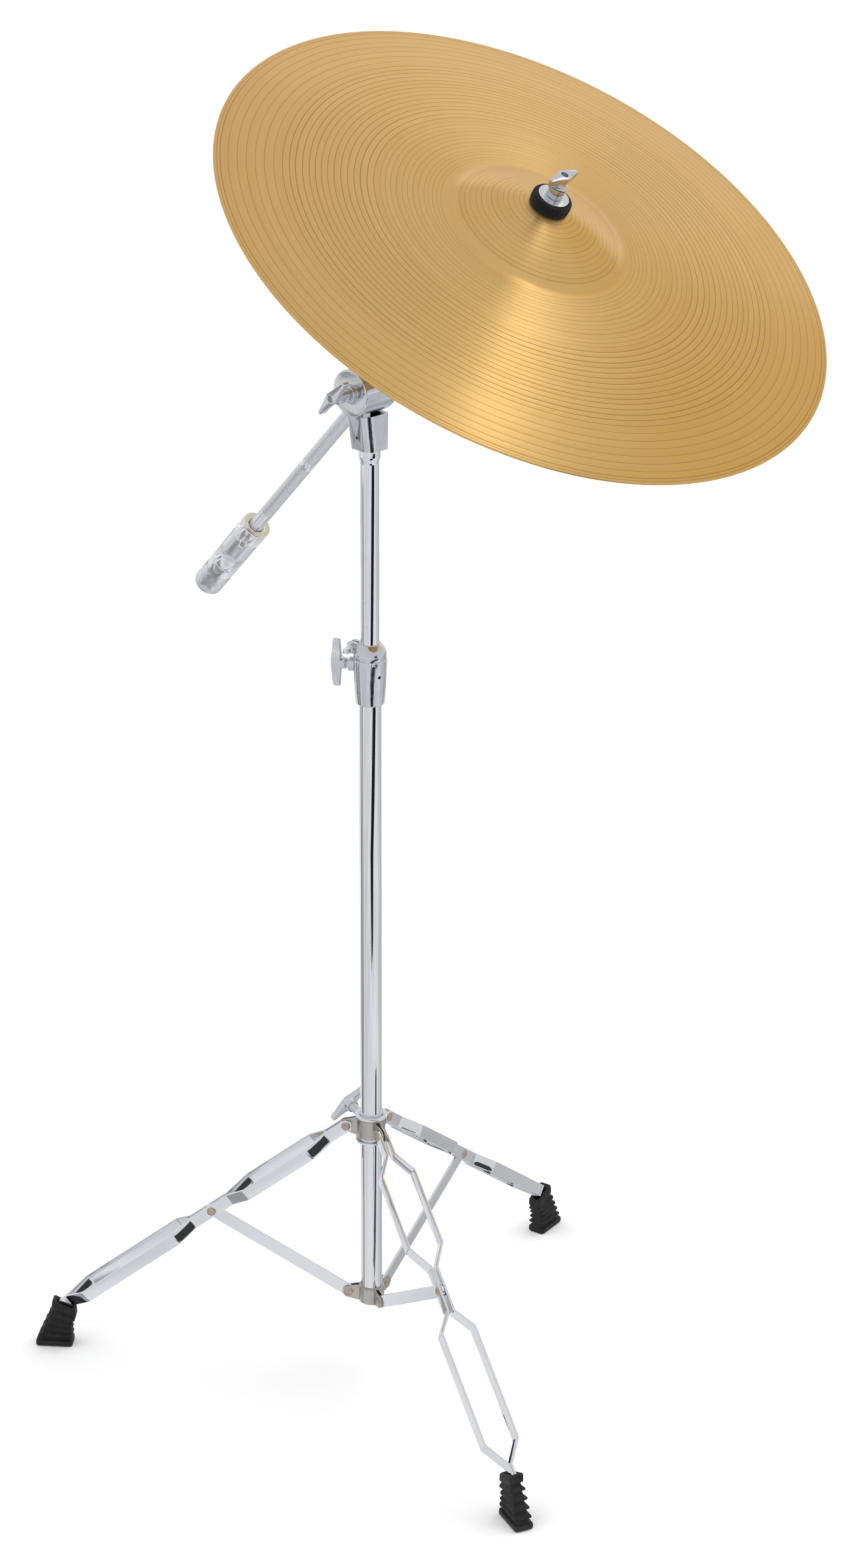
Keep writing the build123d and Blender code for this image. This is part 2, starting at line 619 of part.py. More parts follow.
# ------------------------------------------------------------- runner of the legs
BUSH_BORE = BASE_TUBE_R + 0.08
BUSH_R = 10.9
BUSH_LOW = 222.0
BUSH_HIGH = 247.5
FLANGE = 2.0
RUNNER_BOLT_AZIMUTH = 160.0
with BuildPart() as runner_bush:
    with BuildSketch(Plane.XZ):
        with BuildLine():
            Polyline(
                (BUSH_BORE, BUSH_LOW),
                (13.8, BUSH_LOW),
                (13.8, BUSH_LOW + FLANGE),
                (BUSH_R, BUSH_LOW + FLANGE),
                (BUSH_R, BUSH_HIGH - FLANGE),
                (14.6, BUSH_HIGH - FLANGE),
                (14.6, BUSH_HIGH - 0.8),
                (13.8, BUSH_HIGH),
                (BUSH_R, BUSH_HIGH),
                (BUSH_BORE, BUSH_HIGH - 2.2),
                close=True,
            )
        make_face()
    revolve(axis=Axis.Z)
    with BuildSketch(outward_plane(RUNNER_BOLT_AZIMUTH, LEG_PIN[1])):
        Circle(BOLT_R + RUN_FIT)
    extrude(amount=30, mode=Mode.SUBTRACT)
save(runner_bush.part, "runner_bush")

EAR_THICKNESS = 1.4
RUNNER_EAR_IN = 0.7
BAND_LOW = 226.5
BAND_HIGH = 243.5
BAND_R = 12.4


def ear_plates(pin, low, high, inner, start, end_r):
    """Two plates per leg, from the band out to a rounded end about the pin."""
    top = (pin[0], pin[1] + end_r)
    bottom = (pin[0], pin[1] - end_r)
    with BuildPart() as plates:
        for azimuth in LEG_AZIMUTHS:
            for offset in (inner, -inner - EAR_THICKNESS):
                with BuildSketch(side_plane(azimuth, -offset)):
                    with BuildLine():
                        Polyline(top, (start + 2, high), (start, high))
                        Line((start, high), (start, low))
                        Polyline((start, low), (start + 2, low), bottom)
                        ThreePointArc(bottom, (pin[0] + end_r, pin[1]), top)
                    make_face()
                extrude(amount=-EAR_THICKNESS)
            with BuildSketch(side_plane(azimuth)):
                with Locations(pin):
                    Circle(PIN_R + RUN_FIT)
            extrude(amount=12, both=True, mode=Mode.SUBTRACT)
    return plates.part


RUNNER_BOSS = 18.5
runner_ears = ear_plates(LEG_PIN, BAND_LOW, BAND_HIGH, RUNNER_EAR_IN, BUSH_R, 6.0)
with BuildPart() as runner_band:
    with BuildSketch(level(BAND_LOW)):
        Circle(BAND_R)
    extrude(amount=BAND_HIGH - BAND_LOW)
    add(runner_ears)
    with BuildSketch(outward_plane(RUNNER_BOLT_AZIMUTH, LEG_PIN[1]).offset(BUSH_R)):
        Circle(6.8)
    extrude(amount=RUNNER_BOSS - BUSH_R)
    with BuildSketch(outward_plane(RUNNER_BOLT_AZIMUTH, LEG_PIN[1])):
        Circle(BOLT_R + RUN_FIT)
    extrude(amount=30, mode=Mode.SUBTRACT)
    with BuildSketch(level(BAND_LOW)):
        Circle(BUSH_R)
    extrude(amount=BAND_HIGH - BAND_LOW, mode=Mode.SUBTRACT)
save(runner_band.part, "runner_band")

RUNNER_BOLT_PLANE = outward_plane(RUNNER_BOLT_AZIMUTH, LEG_PIN[1])
RUNNER_WING_SEAT = 38.0
RUNNER_WING_SLANT = 38.0
RUNNER_OUT = radial(RUNNER_BOLT_AZIMUTH)
level_share = cos(radians(RUNNER_WING_SLANT))
drop_share = sin(radians(RUNNER_WING_SLANT))
slant = tangent(RUNNER_BOLT_AZIMUTH) * level_share - Z_AXIS * drop_share
runner_wing_seat = RUNNER_OUT * RUNNER_WING_SEAT + Z_AXIS * LEG_PIN[1]
slanted = Plane(runner_wing_seat, x_dir=slant, z_dir=RUNNER_OUT)
runner_wing = wing(slanted, T_SPAN, T_DEPTH, 5.4, 4.0, 1.0, False)
with BuildPart() as runner_wing_bolt:
    with BuildSketch(RUNNER_BOLT_PLANE.offset(BUSH_BORE + 0.15)):
        Circle(BOLT_R)
    extrude(amount=RUNNER_WING_SEAT + 3 - BUSH_BORE - 0.15)
    add(runner_wing)
save(runner_wing_bolt.part, "runner_wing_bolt")

# ----------------------------------------------------------------- lower bracket
BRACKET_LOW = 59.5
BRACKET_HIGH = 74.5
BRACKET_R = 11.3
BRACKET_EAR_IN = 1.4
bracket_ears = ear_plates(BRACE_PIN, BRACKET_LOW, BRACKET_HIGH, BRACKET_EAR_IN, BASE_TUBE_R, 5.6)
with BuildPart() as lower_bracket:
    with BuildSketch(level(BRACKET_LOW)):
        Circle(BRACKET_R)
    extrude(amount=BRACKET_HIGH - BRACKET_LOW)
    add(bracket_ears)
    with BuildSketch(level(BRACKET_LOW)):
        Circle(BASE_TUBE_R)
    extrude(amount=BRACKET_HIGH - BRACKET_LOW, mode=Mode.SUBTRACT)
save(lower_bracket.part, "lower_bracket")

# ------------------------------------------------------------ legs, braces, pins
REACH = hypot(JOIN_PIN[0] - LEG_PIN[0], JOIN_PIN[1] - LEG_PIN[1])
LEG_DROP = degrees(atan2(LEG_PIN[1] - JOIN_PIN[1], JOIN_PIN[0] - LEG_PIN[0]))
BRACE_LENGTH = hypot(JOIN_PIN[0] - BRACE_PIN[0], JOIN_PIN[1] - BRACE_PIN[1])
BRACE_RISE = degrees(atan2(JOIN_PIN[1] - BRACE_PIN[1], JOIN_PIN[0] - BRACE_PIN[0]))
EAR_OUT = RUNNER_EAR_IN + EAR_THICKNESS
STRIP_AT_EAR = EAR_OUT + FACE_GAP + STRIP_THICKNESS / 2
STRIP_AT_JOIN = BRACE_THICKNESS / 2 + 0.2 + STRIP_THICKNESS / 2
STRIP_AT_FOOT = STRIP_THICKNESS / 2 + 0.05
STRIP_BENDS = (           # distance along the leg, distance from its middle
    (-6.5, STRIP_AT_EAR),
    (21, STRIP_AT_EAR),
    (40, STRIP_SPREAD),
    (110, STRIP_SPREAD),
    (131, STRIP_AT_JOIN),
    (173, STRIP_AT_JOIN),
    (191, STRIP_SPREAD),
    (295, STRIP_SPREAD),
    (316, STRIP_AT_FOOT),
    (338, STRIP_AT_FOOT),
)
HEAD_HEIGHT = 1.3
HEAD_R = 4.2
HEAD_FLAT = 0.9


def leg_direction(azimuth):
    return radial(azimuth) * cos(radians(LEG_DROP)) - Z_AXIS * sin(radians(LEG_DROP))


def pin_point(azimuth, pin):
    return radial(azimuth) * pin[0] + Z_AXIS * pin[1]


def leg_plane(azimuth):
    """Origin on the leg's pin, x along the leg, y sideways."""
    along = leg_direction(azimuth)
    return Plane(pin_point(azimuth, LEG_PIN), x_dir=along, z_dir=along.cross(tangent(azimuth)))


def rivet(point, axis, low, high, headed_below):
    """A turned pin along axis between two heights, with a domed head on top and perhaps below."""
    section = Plane(point, x_dir=axis, z_dir=axis.cross(Z_AXIS))
    foot = low - HEAD_HEIGHT if headed_below else low
    top = high + HEAD_HEIGHT
    shoulder = HEAD_HEIGHT * 0.75
    waist = HEAD_R * 0.6
    with BuildPart() as pin:
        with BuildSketch(section):
            with BuildLine():
                if headed_below:
                    Line((foot, 0), (foot, HEAD_FLAT))
                    ThreePointArc((foot, HEAD_FLAT), (low - shoulder, waist), (low, HEAD_R))
                    Line((low, HEAD_R), (low, PIN_R))
                else:
                    Line((low, 0), (low, PIN_R))
                Polyline((low, PIN_R), (high, PIN_R), (high, HEAD_R))
                ThreePointArc((high, HEAD_R), (high + shoulder, waist), (top, HEAD_FLAT))
                Polyline((top, HEAD_FLAT), (top, 0), (foot, 0))
            make_face()
        revolve(axis=Axis(point, axis))
    return pin.part


for number, azimuth in enumerate(LEG_AZIMUTHS, start=1):
    plane = leg_plane(azimuth)
    for side, name in ((1, "left"), (-1, "right")):
        with BuildPart() as strip:
            with BuildSketch(plane):
                with BuildLine():
                    bends = [(along, side * spread) for along, spread in STRIP_BENDS]
                    FilletPolyline(*bends, radius=4.0)
                trace(line_width=STRIP_THICKNESS)
            extrude(amount=STRIP_HEIGHT / 2, both=True)
            with BuildSketch(side_plane(azimuth)):
                with Locations(LEG_PIN, JOIN_PIN):
                    Circle(PIN_R + RUN_FIT)
            extrude(amount=20, both=True, mode=Mode.SUBTRACT)
        save(strip.part, f"leg_{number}_{name}_strip")

    with BuildPart() as brace:
        with BuildSketch(side_plane(azimuth)):
            with Locations(Location((*BRACE_PIN, 0), (0, 0, BRACE_RISE))):
                with Locations((BRACE_LENGTH / 2, 0)):
                    SlotCenterToCenter(BRACE_LENGTH, STRIP_HEIGHT)
            with Locations(BRACE_PIN, JOIN_PIN):
                Circle(PIN_R + RUN_FIT, mode=Mode.SUBTRACT)
        extrude(amount=BRACE_THICKNESS / 2, both=True)
    save(brace.part, f"brace_{number}")

    low = STRIP_AT_JOIN - STRIP_THICKNESS / 2
    high = STRIP_AT_JOIN + STRIP_THICKNESS / 2
    point = pin_point(azimuth, JOIN_PIN)
    stubs = [rivet(point, tangent(azimuth) * side, low, high, False) for side in (1, -1)]
    with BuildPart() as join_rivets:
        add(stubs)
    save(join_rivets.part, f"join_rivets_{number}")


def leg_pins(pin, reach):
    """One rivet per leg, headed on both sides."""
    pins = []
    for azimuth in LEG_AZIMUTHS:
        pins.append(rivet(pin_point(azimuth, pin), tangent(azimuth), -reach, reach, True))
    return pins


upper_pins = leg_pins(LEG_PIN, STRIP_AT_EAR + STRIP_THICKNESS / 2 + FACE_GAP)
with BuildPart() as runner_rivets:
    add(upper_pins)
save(runner_rivets.part, "runner_rivets")

lower_pins = leg_pins(BRACE_PIN, BRACKET_EAR_IN + EAR_THICKNESS)
with BuildPart() as bracket_rivets:
    add(lower_pins)
save(bracket_rivets.part, "bracket_rivets")

# -------------------------------------------------------------------- rubber feet
SOLE_LENGTH = 32.5
SOLE_WIDTH = 17.5
SOLE_THICKNESS = 5.0
BOOT_TOP = 325.0          # distance along the leg at which the boot starts
FIN_COUNT = 4
for number, azimuth in enumerate(LEG_AZIMUTHS, start=1):
    along = leg_direction(azimuth)
    out = radial(azimuth)
    mouth = leg_plane(azimuth).origin + along * BOOT_TOP
    with BuildPart() as foot:
        with BuildSketch(Plane(out * SOLE_RADIUS, x_dir=out, z_dir=(0, 0, 1))):
            RectangleRounded(SOLE_LENGTH, SOLE_WIDTH, 3.0)
        extrude(amount=SOLE_THICKNESS)
        waist = out * SOLE_RADIUS + Z_AXIS * (SOLE_THICKNESS - 0.1)
        crown = out * 281.5 + Z_AXIS * 32.0
        with BuildSketch(Plane(waist, x_dir=out, z_dir=(0, 0, 1))):
            RectangleRounded(26.0, 13.0, 2.0)
        with BuildSketch(Plane(crown, x_dir=out, z_dir=(0, 0, 1))):
            RectangleRounded(23.0, 12.0, 2.0)
        loft()
        with BuildSketch(Plane(mouth, x_dir=tangent(azimuth), z_dir=along)):
            RectangleRounded(12.6, 19.0, 2.0)
        extrude(amount=14.0)
        for step in range(FIN_COUNT):
            fin = out * (SOLE_RADIUS - 1.3 * (step + 1)) + Z_AXIS * (10.0 + 6.2 * step)
            with BuildSketch(Plane(fin, x_dir=out, z_dir=(0, 0, 1))):
                RectangleRounded(31.0 - 0.8 * step, 17.0 - 0.5 * step, 2.5)
            extrude(amount=1.8)
        with BuildSketch(Plane(mouth - along * 5, x_dir=tangent(azimuth), z_dir=along)):
            Rectangle(2 * STRIP_THICKNESS + 0.1, STRIP_HEIGHT)
        extrude(amount=338 - BOOT_TOP + 5, mode=Mode.SUBTRACT)
        split(bisect_by=Plane.XY, keep=Keep.TOP)
    save(foot.part, f"foot_{number}")
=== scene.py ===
"""Looks of the ride cymbal on its boom stand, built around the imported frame."""
import json
import math
import random

import bmesh
import bpy
from mathutils import Matrix, Vector

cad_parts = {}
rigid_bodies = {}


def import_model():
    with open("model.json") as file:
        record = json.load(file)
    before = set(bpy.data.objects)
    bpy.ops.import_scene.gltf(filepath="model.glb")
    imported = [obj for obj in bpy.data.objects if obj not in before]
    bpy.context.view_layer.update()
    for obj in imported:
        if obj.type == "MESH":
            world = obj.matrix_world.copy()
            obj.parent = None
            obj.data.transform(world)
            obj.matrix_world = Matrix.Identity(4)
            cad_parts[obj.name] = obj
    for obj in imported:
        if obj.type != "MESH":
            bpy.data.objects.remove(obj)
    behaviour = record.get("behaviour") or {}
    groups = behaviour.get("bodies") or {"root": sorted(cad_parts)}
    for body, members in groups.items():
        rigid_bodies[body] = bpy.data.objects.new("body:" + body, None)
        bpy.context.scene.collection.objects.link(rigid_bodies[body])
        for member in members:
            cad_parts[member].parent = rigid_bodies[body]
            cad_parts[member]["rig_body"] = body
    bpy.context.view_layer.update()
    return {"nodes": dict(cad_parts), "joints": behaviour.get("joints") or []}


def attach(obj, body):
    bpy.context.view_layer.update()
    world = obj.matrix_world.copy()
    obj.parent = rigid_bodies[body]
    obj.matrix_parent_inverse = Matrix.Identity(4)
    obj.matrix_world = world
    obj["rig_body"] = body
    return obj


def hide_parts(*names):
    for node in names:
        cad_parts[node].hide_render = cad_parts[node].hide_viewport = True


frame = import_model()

MM = 0.001
RECORD_JOINTS = {joint["name"]: joint for joint in frame["joints"]}
NODE_BODY = {name: node["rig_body"] for name, node in frame["nodes"].items()}
Z_AXIS = Vector((0, 0, 1))


# ------------------------------------------------------------------ places
def joint_point(name):
    return Vector(RECORD_JOINTS[name]["pos_m"])


def joint_axis(name):
    return Vector(RECORD_JOINTS[name]["axis"]).normalized()


def place(origin, x_dir, z_dir):
    """The matrix of a local frame: its origin in metres and two of its directions."""
    z = Vector(z_dir).normalized()
    x = Vector(x_dir)
    x = (x - z * x.dot(z)).normalized()
    y = z.cross(x)
    return Matrix((
        (x.x, y.x, z.x, origin[0]),
        (x.y, y.y, z.y, origin[1]),
        (x.z, y.z, z.z, origin[2]),
        (0, 0, 0, 1),
    ))


def column(height):
    """A frame on the column's axis, height in millimetres."""
    return place((0, 0, height * MM), (1, 0, 0), (0, 0, 1))


HINGE = joint_point("boom_tilt")
BOOM = joint_axis("boom_slide")
POST = joint_axis("cymbal_spin")
ACROSS = joint_axis("cymbal_swing")
SEAT = joint_point("cymbal_spin")
SEAT_HEIGHT = 40.2            # of the seat above the plane of the rim
RIM = SEAT - POST * SEAT_HEIGHT * MM


# ------------------------------------------------------------------ meshes
def finish_mesh(obj, matter, matrix, sharp=38.0):
    """Welds, orients and shades a mesh, then puts it in its place."""
    mesh = obj.data
    work = bmesh.new()
    work.from_mesh(mesh)
    bmesh.ops.remove_doubles(work, verts=work.verts, dist=1e-7)
    bmesh.ops.recalc_face_normals(work, faces=work.faces)
    work.to_mesh(mesh)
    work.free()
    mesh.shade_smooth()
    mesh.set_sharp_from_angle(angle=math.radians(sharp))
    mesh.materials.clear()
    mesh.materials.append(matter)
    obj.matrix_world = matrix
    return obj


def loft(name, rings, matter, matrix, capped=True, looped=False, sharp=38.0):
    """A skin over rings of equal length, in millimetres; looped joins the last ring to the first."""
    count = len(rings[0])
    verts = [Vector(point) * MM for ring in rings for point in ring]
    faces = []
    spans = len(rings) if looped else len(rings) - 1
    for row in range(spans):
        near = row * count
        far = (row + 1) % len(rings) * count
        for k in range(count):
            after = (k + 1) % count
            faces.append((near + k, near + after, far + after, far + k))
    if capped and not looped:
        faces.append(tuple(range(count)))
        faces.append(tuple(range(len(verts) - count, len(verts))))
    mesh = bpy.data.meshes.new(name)
    mesh.from_pydata(verts, [], faces)
    obj = bpy.data.objects.new(name, mesh)
    bpy.context.scene.collection.objects.link(obj)
    return finish_mesh(obj, matter, matrix, sharp)


def circle(radius, height, count, shape=None):
    """A ring of points; shape(angle, height) says how much further out each point lies."""
    ring = []
    for k in range(count):
        angle = 2 * math.pi * k / count
        r = radius + (shape(angle, height) if shape else 0)
        ring.append((r * math.cos(angle), r * math.sin(angle), height))
    return ring


def rounded(points, radius, steps=4, closed=False):
    """A 2-D line with its corners turned into arcs; radius is one number or one per point."""
    result = []
    total = len(points)
    for k, here in enumerate(points):
        here = Vector(here)
        if not closed and k in (0, total - 1):
            result.append(here)
            continue
        before = Vector(points[k - 1]) - here
        after = Vector(points[(k + 1) % total]) - here
        size = radius[k] if isinstance(radius, (list, tuple)) else radius
        turn = math.pi - before.angle(after)
        if turn < 0.02 or size <= 0:
            result.append(here)
            continue
        reach = min(size * math.tan(turn / 2), before.length * 0.48, after.length * 0.48)
        first = here + before.normalized() * reach
        last = here + after.normalized() * reach
        for step in range(steps + 1):
            t = step / steps
            result.append(first * (1 - t) ** 2 + here * (2 * t * (1 - t)) + last * t * t)
    return result


def lathe(name, profile, matter, matrix, radius=0.4, segments=96, sharp=38.0, looped=False):
    """Turns a (radius, height) outline about the local z axis. A looped outline makes a ring."""
    line = rounded([Vector(p) for p in profile], radius, closed=looped)
    rings = [circle(max(p[0], 0.0), p[1], segments) for p in line]
    return loft(name, rings, matter, matrix, capped=False, looped=looped, sharp=sharp)


def rounded_box(half_x, half_y, radius, steps=4):
    """The outline of a rectangle with round corners, as 2-D points."""
    corners = [(half_x, -half_y), (half_x, half_y), (-half_x, half_y), (-half_x, -half_y)]
    return rounded(corners, min(radius, half_x * 0.98, half_y * 0.98), steps, closed=True)


def ribbon(name, path, thickness, width, matter, matrix, edge=0.5, half_width=None, bend=4.0, steps=7):
    """Flat bar bent along a path in the local xy plane; its width runs along z."""
    line = rounded([Vector(p) for p in path], bend, steps)
    dense = [line[0]]
    for here, there in zip(line, line[1:]):
        pieces = max(1, int((there - here).length / 3.0))
        dense += [here.lerp(there, (k + 1) / pieces) for k in range(pieces)]
    travelled = 0.0
    rings = []
    for k, point in enumerate(dense):
        before = dense[max(k - 1, 0)]
        after = dense[min(k + 1, len(dense) - 1)]
        travelled += (point - before).length
        along = (after - before).normalized()
        normal = Vector((-along.y, along.x))
        half = width / 2 if half_width is None else half_width(travelled)
        section = rounded_box(thickness / 2, half, edge, 3)
        rings.append([(*(point + normal * s.x), s.y) for s in section])
    return loft(name, rings, matter, matrix, sharp=30.0)


def boolean(obj, tool, operation):
    """Unites or cuts obj with tool, which is used up."""
    change = obj.modifiers.new("boolean", "BOOLEAN")
    change.operation = operation
    change.object = tool
    change.solver = "EXACT"
    bpy.context.view_layer.update()
    mesh = bpy.data.meshes.new_from_object(obj.evaluated_get(bpy.context.evaluated_depsgraph_get()))
    obj.modifiers.clear()
    obj.data = mesh
    bpy.data.objects.remove(tool)


def stands_for(piece, node):
    """The piece is shown in place of a CAD node and rides on its body."""
    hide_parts(node)
    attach(piece, NODE_BODY[node])


def dressed(node, matter, edge=0.45, sharp=40.0):
    """A CAD node's own shape with its edges rounded off."""
    mesh = frame["nodes"][node].data.copy()
    piece = bpy.data.objects.new(f"{node}_finished", mesh)
    bpy.context.scene.collection.objects.link(piece)
    work = bmesh.new()
    work.from_mesh(mesh)
    bmesh.ops.remove_doubles(work, verts=work.verts, dist=2e-6)
    bmesh.ops.dissolve_limit(work, angle_limit=math.radians(1.0), verts=work.verts, edges=work.edges)
    work.to_mesh(mesh)
    work.free()
    mesh.shade_smooth()
    mesh.set_sharp_from_angle(angle=math.radians(sharp))
    mesh.materials.clear()
    mesh.materials.append(matter)
    if edge:
        bevel = piece.modifiers.new("edges", "BEVEL")
        bevel.width = edge * MM
        bevel.segments = 3
        bevel.limit_method = "ANGLE"
        bevel.angle_limit = math.radians(sharp)
        bevel.harden_normals = True
    stands_for(piece, node)


# --------------------------------------------------------------- materials
class Matter:
    """A Principled material with small helpers for its nodes."""

    def __init__(self, name, base, roughness, metallic=1.0, **sockets):
        self.material = bpy.data.materials.new(name)
        self.material.use_nodes = True
        self.nodes = self.material.node_tree.nodes
        self.links = self.material.node_tree.links
        self.shader = self.nodes["Principled BSDF"]
        self.base = base
        self.roughness = roughness
        self.put("Base Color", (*base, 1))
        self.put("Metallic", metallic)
        self.put("Roughness", roughness)
        for socket, value in sockets.items():
            self.put(socket.replace("_", " "), value)
        self.normal = None

    def put(self, socket, value):
        self.shader.inputs[socket].default_value = value

    def node(self, kind, **inputs):
        made = self.nodes.new(kind)
        for key, value in inputs.items():
            made.inputs[key.replace("_", " ")].default_value = value
        return made

    def place(self):
        return self.node("ShaderNodeTexCoord").outputs["Object"]

    def noise(self, scale, detail=3.0, rough=0.55, stretch=None):
        made = self.node("ShaderNodeTexNoise", Scale=scale, Detail=detail, Roughness=rough)
        source = self.place()
        if stretch:
            mapping = self.node("ShaderNodeMapping", Scale=stretch)
            self.links.new(source, mapping.inputs["Vector"])
            source = mapping.outputs["Vector"]
        self.links.new(source, made.inputs["Vector"])
        return made.outputs["Fac"]

    def ramp(self, source, low, high, from_low=0.3, from_high=0.7):
        made = self.node("ShaderNodeMapRange", To_Min=low, To_Max=high, From_Min=from_low, From_Max=from_high)
        self.links.new(source, made.inputs["Value"])
        return made.outputs["Result"]

    def tint(self, source, other, from_low=0.3, from_high=0.7, strength=1.0):
        """Mixes the present base colour with another where source is high."""
        mix = self.nodes.new("ShaderNodeMix")
        mix.data_type = "RGBA"
        mix.inputs["A"].default_value = (*self.base, 1)
        mix.inputs["B"].default_value = (*other, 1)
        socket = self.shader.inputs["Base Color"]
        if socket.is_linked:
            self.links.new(socket.links[0].from_socket, mix.inputs["A"])
        self.links.new(self.ramp(source, 0.0, strength, from_low, from_high), mix.inputs["Factor"])
        self.links.new(mix.outputs["Result"], socket)

    def vary_roughness(self, source, low, high):
        self.links.new(self.ramp(source, low, high), self.shader.inputs["Roughness"])

    def bump(self, source, distance, strength=1.0):
        made = self.node("ShaderNodeBump", Distance=distance * MM, Strength=strength)
        self.links.new(source, made.inputs["Height"])
        if self.normal:
            self.links.new(self.normal, made.inputs["Normal"])
        self.normal = made.outputs["Normal"]
        self.links.new(self.normal, self.shader.inputs["Normal"])

    def turned(self, amount, uv_map=None):
        """Grooved in circles about the z axis, or along the u of a map; highlights stretch across."""
        self.put("Anisotropic", amount)
        self.put("Anisotropic Rotation", 0.25)
        tangent = self.nodes.new("ShaderNodeTangent")
        if uv_map:
            tangent.direction_type = "UV_MAP"
            tangent.uv_map = uv_map
        else:
            tangent.direction_type = "RADIAL"
            tangent.axis = "Z"
        self.links.new(tangent.outputs["Tangent"], self.shader.inputs["Tangent"])

    def attribute(self, name):
        made = self.nodes.new("ShaderNodeAttribute")
        made.attribute_name = name
        return made.outputs["Fac"]

    def calculate(self, operation, first, second=None):
        """A maths node; second is a socket, a number or nothing."""
        made = self.nodes.new("ShaderNodeMath")
        made.operation = operation
        self.links.new(first, made.inputs[0])
        if isinstance(second, float):
            made.inputs[1].default_value = second
        elif second:
            self.links.new(second, made.inputs[1])
        return made.outputs[0]

    def radius(self):
        """Distance from the object's z axis, in millimetres."""
        split = self.node("ShaderNodeSeparateXYZ")
        self.links.new(self.place(), split.inputs[0])
        squares = [self.calculate("MULTIPLY", split.outputs[axis], split.outputs[axis]) for axis in "XY"]
        return self.calculate("MULTIPLY", self.calculate("SQRT", self.calculate("ADD", *squares)), 1 / MM)

    def rings(self, radius, per_mm):
        """Noise that only changes with the radius, like lathe marks."""
        made = self.nodes.new("ShaderNodeTexNoise")
        made.noise_dimensions = "1D"
        made.inputs["Scale"].default_value = per_mm
        made.inputs["Detail"].default_value = 4.0
        self.links.new(radius, made.inputs["W"])
        return made.outputs["Fac"]


def make_chrome():
    matter = Matter("chrome_plate", (0.80, 0.81, 0.83), 0.05)
    matter.vary_roughness(matter.noise(14.0), 0.035, 0.075)
    matter.tint(matter.noise(220.0, 6.0), (0.70, 0.71, 0.74), 0.62, 0.80)
    matter.bump(matter.noise(90.0, 2.0), 0.010)
    return matter.material


def make_casting():
    matter = Matter("plated_casting", (0.70, 0.715, 0.745), 0.12)
    matter.vary_roughness(matter.noise(60.0), 0.08, 0.17)
    matter.tint(matter.noise(35.0), (0.60, 0.61, 0.64))
    matter.bump(matter.noise(260.0, 2.0), 0.03)
    return matter.material


def make_nickel():
    matter = Matter("dull_nickel", (0.56, 0.535, 0.50), 0.30)
    matter.vary_roughness(matter.noise(120.0, 4.0, stretch=(1, 1, 6)), 0.22, 0.40)
    matter.tint(matter.noise(45.0, 5.0), (0.42, 0.40, 0.37))
    matter.bump(matter.noise(500.0, 3.0, stretch=(1, 1, 8)), 0.02)
    return matter.material


def make_bronze():
    matter = Matter("bronze_tinted_rivet", (0.60, 0.48, 0.37), 0.24)
    matter.vary_roughness(matter.noise(300.0), 0.18, 0.34)
    matter.tint(matter.noise(250.0), (0.40, 0.33, 0.28))
    matter.bump(matter.noise(700.0), 0.02)
    return matter.material


def make_steel():
    matter = Matter("brushed_steel", (0.70, 0.71, 0.73), 0.24)
    matter.vary_roughness(matter.noise(200.0), 0.18, 0.32)
    matter.bump(matter.rings(matter.radius(), 3.0), 0.02)
    matter.turned(0.55)
    return matter.material


def make_knurl():
    matter = Matter("knurled_chrome", (0.78, 0.79, 0.81), 0.14)
    matter.vary_roughness(matter.noise(900.0), 0.10, 0.22)
    matter.tint(matter.noise(1500.0, 2.0), (0.62, 0.63, 0.66))
    return matter.material


def make_nylon():
    matter = Matter("black_nylon", (0.022, 0.022, 0.024), 0.38, metallic=0.0)
    matter.vary_roughness(matter.noise(150.0), 0.30, 0.48)
    matter.bump(matter.noise(900.0), 0.02)
    return matter.material


def make_rubber():
    matter = Matter("foot_rubber", (0.010, 0.010, 0.0105), 0.60, metallic=0.0, Specular_IOR_Level=0.30)
    matter.vary_roughness(matter.noise(220.0, 5.0), 0.50, 0.76)
    matter.tint(matter.noise(90.0, 5.0), (0.021, 0.020, 0.019))
    matter.bump(matter.noise(1400.0, 4.0), 0.06)
    return matter.material


def make_felt():
    matter = Matter("black_felt", (0.005, 0.005, 0.006), 0.95, metallic=0.0, Sheen_Weight=0.08,
                    Sheen_Roughness=0.6, Specular_IOR_Level=0.2)
    matter.tint(matter.noise(900.0, 6.0, 0.7), (0.018, 0.018, 0.020), 0.5, 0.75)
    matter.bump(matter.noise(1100.0, 6.0, 0.75), 0.35)
    return matter.material


def make_cymbal_bronze():
    matter = Matter("lathed_bronze", (0.75, 0.475, 0.175), 0.34)
    radius = matter.attribute("radius")
    matter.tint(matter.noise(5.0, 2.0), (0.78, 0.51, 0.205), 0.35, 0.65)
    matter.tint(matter.rings(radius, 0.12), (0.70, 0.44, 0.15), 0.35, 0.65, 0.35)
    matter.tint(matter.rings(radius, 1.6), (0.66, 0.40, 0.13), 0.45, 0.75, 0.45)
    matter.tint(matter.noise(700.0, 3.0), (0.62, 0.37, 0.12), 0.55, 0.75, 0.30)
    # painted shade: the per-point groove attribute darkens the lathe grooves, and in rings the cymbal's
    # underside
    matter.tint(matter.attribute("shaded_groove"), (0.33, 0.18, 0.05), 0.0, 1.0, 0.95)
    matter.vary_roughness(matter.rings(radius, 0.6), 0.29, 0.33)
    matter.bump(matter.rings(radius, 2.2), 0.01, 0.2)
    matter.turned(0.88, "turn")
    return matter.material


CHROME = make_chrome()
CASTING = make_casting()
NICKEL = make_nickel()
BRONZE = make_bronze()
STEEL = make_steel()
KNURL = make_knurl()
NYLON = make_nylon()
RUBBER = make_rubber()
FELT = make_felt()
CYMBAL = make_cymbal_bronze()


